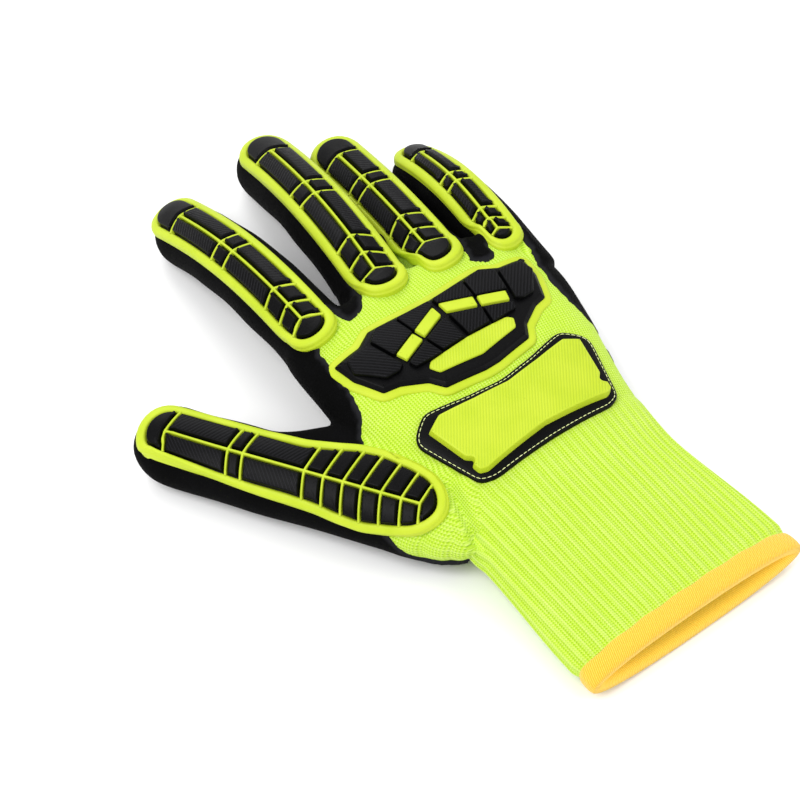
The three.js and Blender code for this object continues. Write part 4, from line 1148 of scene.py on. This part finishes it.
# %% Flange and panel
FLANGE_WIDTH = 3.1
flange_profile = [(0.0, -1.2), (0.05, 0.3), (0.35, 0.6), (0.9, 0.8), (1.8, 0.9), (2.6, 0.9)]
slab_profile = [(-0.2, 0.5), (-0.1, 1.2), (0.1, 1.45), (1.1, 2.2), (1.25, 2.32), (1.5, 2.38), (2.4, 2.4)]
rise_profile = [(-0.35, 2.0), (-0.2, 3.2), (-0.1, 3.7), (0.02, 3.92), (0.12, 3.98), (0.5, 4.0)]
flange_edge = drawn_in(dense(panel_edge, 0.5, 4), -FLANGE_WIDTH)
plate_piece("knuckle_flange_rubber", "green_rubber", ["knuckle_flange"], [flange_edge], flange_profile)

made = Builder()
cap_grid(made, over_hand, dense(panel_edge, 0.5, 1), slab_profile, FILL)
for outline in PANEL_BLOCKS:
    for shape in (outline, mirrored(outline)):
        ring = dense(scaled(shape, PANEL), 0.4, 1)
        cap_grid(made, over_hand, ring, rise_profile, INNER, 1.0, lambda u, v: np.abs(u - PANEL[2]) - 0.9 * v)
placed(made.build("knuckle_panel_rubber", RUBBER["black_rubber"]), "black_rubber", "knuckle_panel")

# %% Bars and crescent
plate_piece(
    "knuckle_bars_rubber", "green_rubber", ["knuckle_bar_" + letter for letter in "abcd"],
    [scaled(shape, PANEL) for outline in PANEL_BARS for shape in (outline, mirrored(outline))],
    [(0.15, 2.0), (0.25, 3.3), (0.45, 3.55), (0.8, 3.6)], soften=2)
plate_piece(
    "knuckle_crescent_rubber", "green_rubber", ["knuckle_crescent"], [scaled(both_sides(PANEL_INLAY), PANEL)],
    [(0.0, 1.8), (0.1, 2.75), (0.4, 3.05), (0.9, 3.1)], lines=0.6, soften=2)

# %% [markdown]
# ## Badge
#
# A black patch is sewn on over the wrist with one row of pale stitches close to its edge. The green
# plate on it has clear side walls and a bare face with fine slanted lines. The stitches could be a
# dashed line in the material, but they catch the light as small rolls of thread do, so each one is
# a short capsule laid on the patch.

# %% Patch and plate
patch_edge = scaled(both_sides(PATCH_EDGE), BADGE)
plate_piece(
    "badge_patch_rubber", "black_rubber", ["badge_patch"], [patch_edge],
    [(0.0, -1.0), (0.05, 0.9), (0.3, 1.4), (0.7, 1.55), (1.1, 1.45), (1.6, 1.55), (2.6, 1.7)], soften=30)
plate_piece(
    "badge_plate_rubber", "green_rubber", ["badge_plate"], [scaled(both_sides(PLATE_EDGE), BADGE)],
    [(0.0, 1.2), (0.12, 1.6), (0.75, 4.1), (0.85, 4.3), (1.0, 4.42), (1.5, 4.5)], lines=0.7, soften=2)

# %% Stitches
# from one stitch to the next, the share of that which is thread, half its thickness, its arch
STITCH_PITCH, STITCH_SHARE, STITCH_THICK, STITCH_ARCH = 1.9, 0.8, 0.14, 0.16
SEAM_HEIGHT, SEAM_INSET = 1.5, 1.1


def stitch_row(name, outline):
    """Short capsules of thread along a closed line."""
    ring = dense(outline, 0.2, 6)
    run = np.concatenate([[0], np.cumsum(np.hypot(*np.diff(np.concatenate([ring, ring[:1]]), axis=0).T))])
    count = int(run[-1] / STITCH_PITCH)
    turn = np.linspace(0, 2 * np.pi, 7)[:-1]
    cos, sin = np.cos(turn)[None, :, None], np.sin(turn)[None, :, None]
    arch = np.sin(np.linspace(0, 1, 7) * np.pi) ** 0.5
    height = SEAM_HEIGHT + STITCH_ARCH * arch
    size = STITCH_THICK * (0.35 + 0.65 * arch)[:, None, None]
    made = Builder()
    for k in range(count):
        at = (k + np.linspace(0, STITCH_SHARE, 7)) * run[-1] / count
        u, v = (np.interp(at, run[:-1], ring[:, n], period=run[-1]) for n in (0, 1))
        centre = over_hand(u, v, height)
        above = over_hand(u, v, height + 1.0) - centre
        way = np.gradient(centre, axis=0)
        way /= np.linalg.norm(way, axis=1)[:, None]
        side = np.cross(way, above)
        tube = centre[:, None] + (side[:, None] * cos + above[:, None] * sin) * size
        made.grid(tube, wrap_columns=True, close=(0, 1))
    placed(made.build(name, thread), "knit")


stitch_row("badge_stitches", drawn_in(dense(patch_edge, 0.4, 40), SEAM_INSET))

# %% [markdown]
# ## Light, floor and camera
#
# A pale studio: a wide soft key from the upper left, a fill from the other side and a bright, even
# sky, so that the fluorescent parts keep their colour and the black rubber still shows its edges.
# A picture of a studio could light it too, but three lamps and a white sky need no file. The camera
# looks down at fifty degrees from the cuff's side of the thumb, with a long lens.

# %% Lamps, sky and floor


def soft_light(name, place, size, power, aim):
    data = bpy.data.lights.new(name, "AREA")
    data.shape, data.size, data.energy = "DISK", size, power
    lamp = linked(name, data)
    lamp.location = place
    lamp.rotation_euler = (Vector(aim) - Vector(place)).to_track_quat("-Z", "Y").to_euler()


centre = tuple(to_frame([-10.0, 130.0, 20.0]))
soft_light("key", (-0.75, -0.1, 1.1), 0.8, 11, centre)
soft_light("fill", (0.7, -0.7, 0.8), 0.9, 4.5, centre)
soft_light("back", (0.3, 1.0, 0.9), 0.8, 6, centre)

world = bpy.data.worlds.new("studio")
world.use_nodes = True
sky = world.node_tree.nodes["Background"].inputs
sky["Color"].default_value, sky["Strength"].default_value = (1, 1, 1, 1), 0.85
bpy.context.scene.world = world

floor_mesh = bpy.data.meshes.new("floor")
floor_mesh.from_pydata([(-4, -4, 0), (4, -4, 0), (4, 4, 0), (-4, 4, 0)], [], [(0, 1, 2, 3)])
floor = linked("floor", floor_mesh)
paper = Shader("pale floor")
paper.set(Base_Color=(0.93, 0.93, 0.93), Roughness=0.9, Specular_IOR_Level=0.1)
floor_mesh.materials.append(paper.material)
print("lamps aim at", np.round(centre, 3))

# %% Camera
LENS, DISTANCE, TARGET = 153.9, 1200.0, np.array([-22.57, 131.89, 18.0])
AZIMUTH, ELEVATION = math.radians(39), math.radians(50)
camera_data = bpy.data.cameras.new("camera")
camera_data.sensor_width, camera_data.lens = 36, LENS
camera = linked("camera", camera_data)
level = math.cos(ELEVATION)
away = np.array([-math.sin(AZIMUTH) * level, -math.cos(AZIMUTH) * level, math.sin(ELEVATION)])
camera.location = tuple(to_frame(TARGET + away * DISTANCE))
camera.rotation_euler = Vector(-away).to_track_quat("-Z", "Y").to_euler()
scene = bpy.context.scene
scene.camera = camera
scene.view_settings.view_transform, scene.view_settings.look = "Standard", "None"
print("camera at", camera.location)
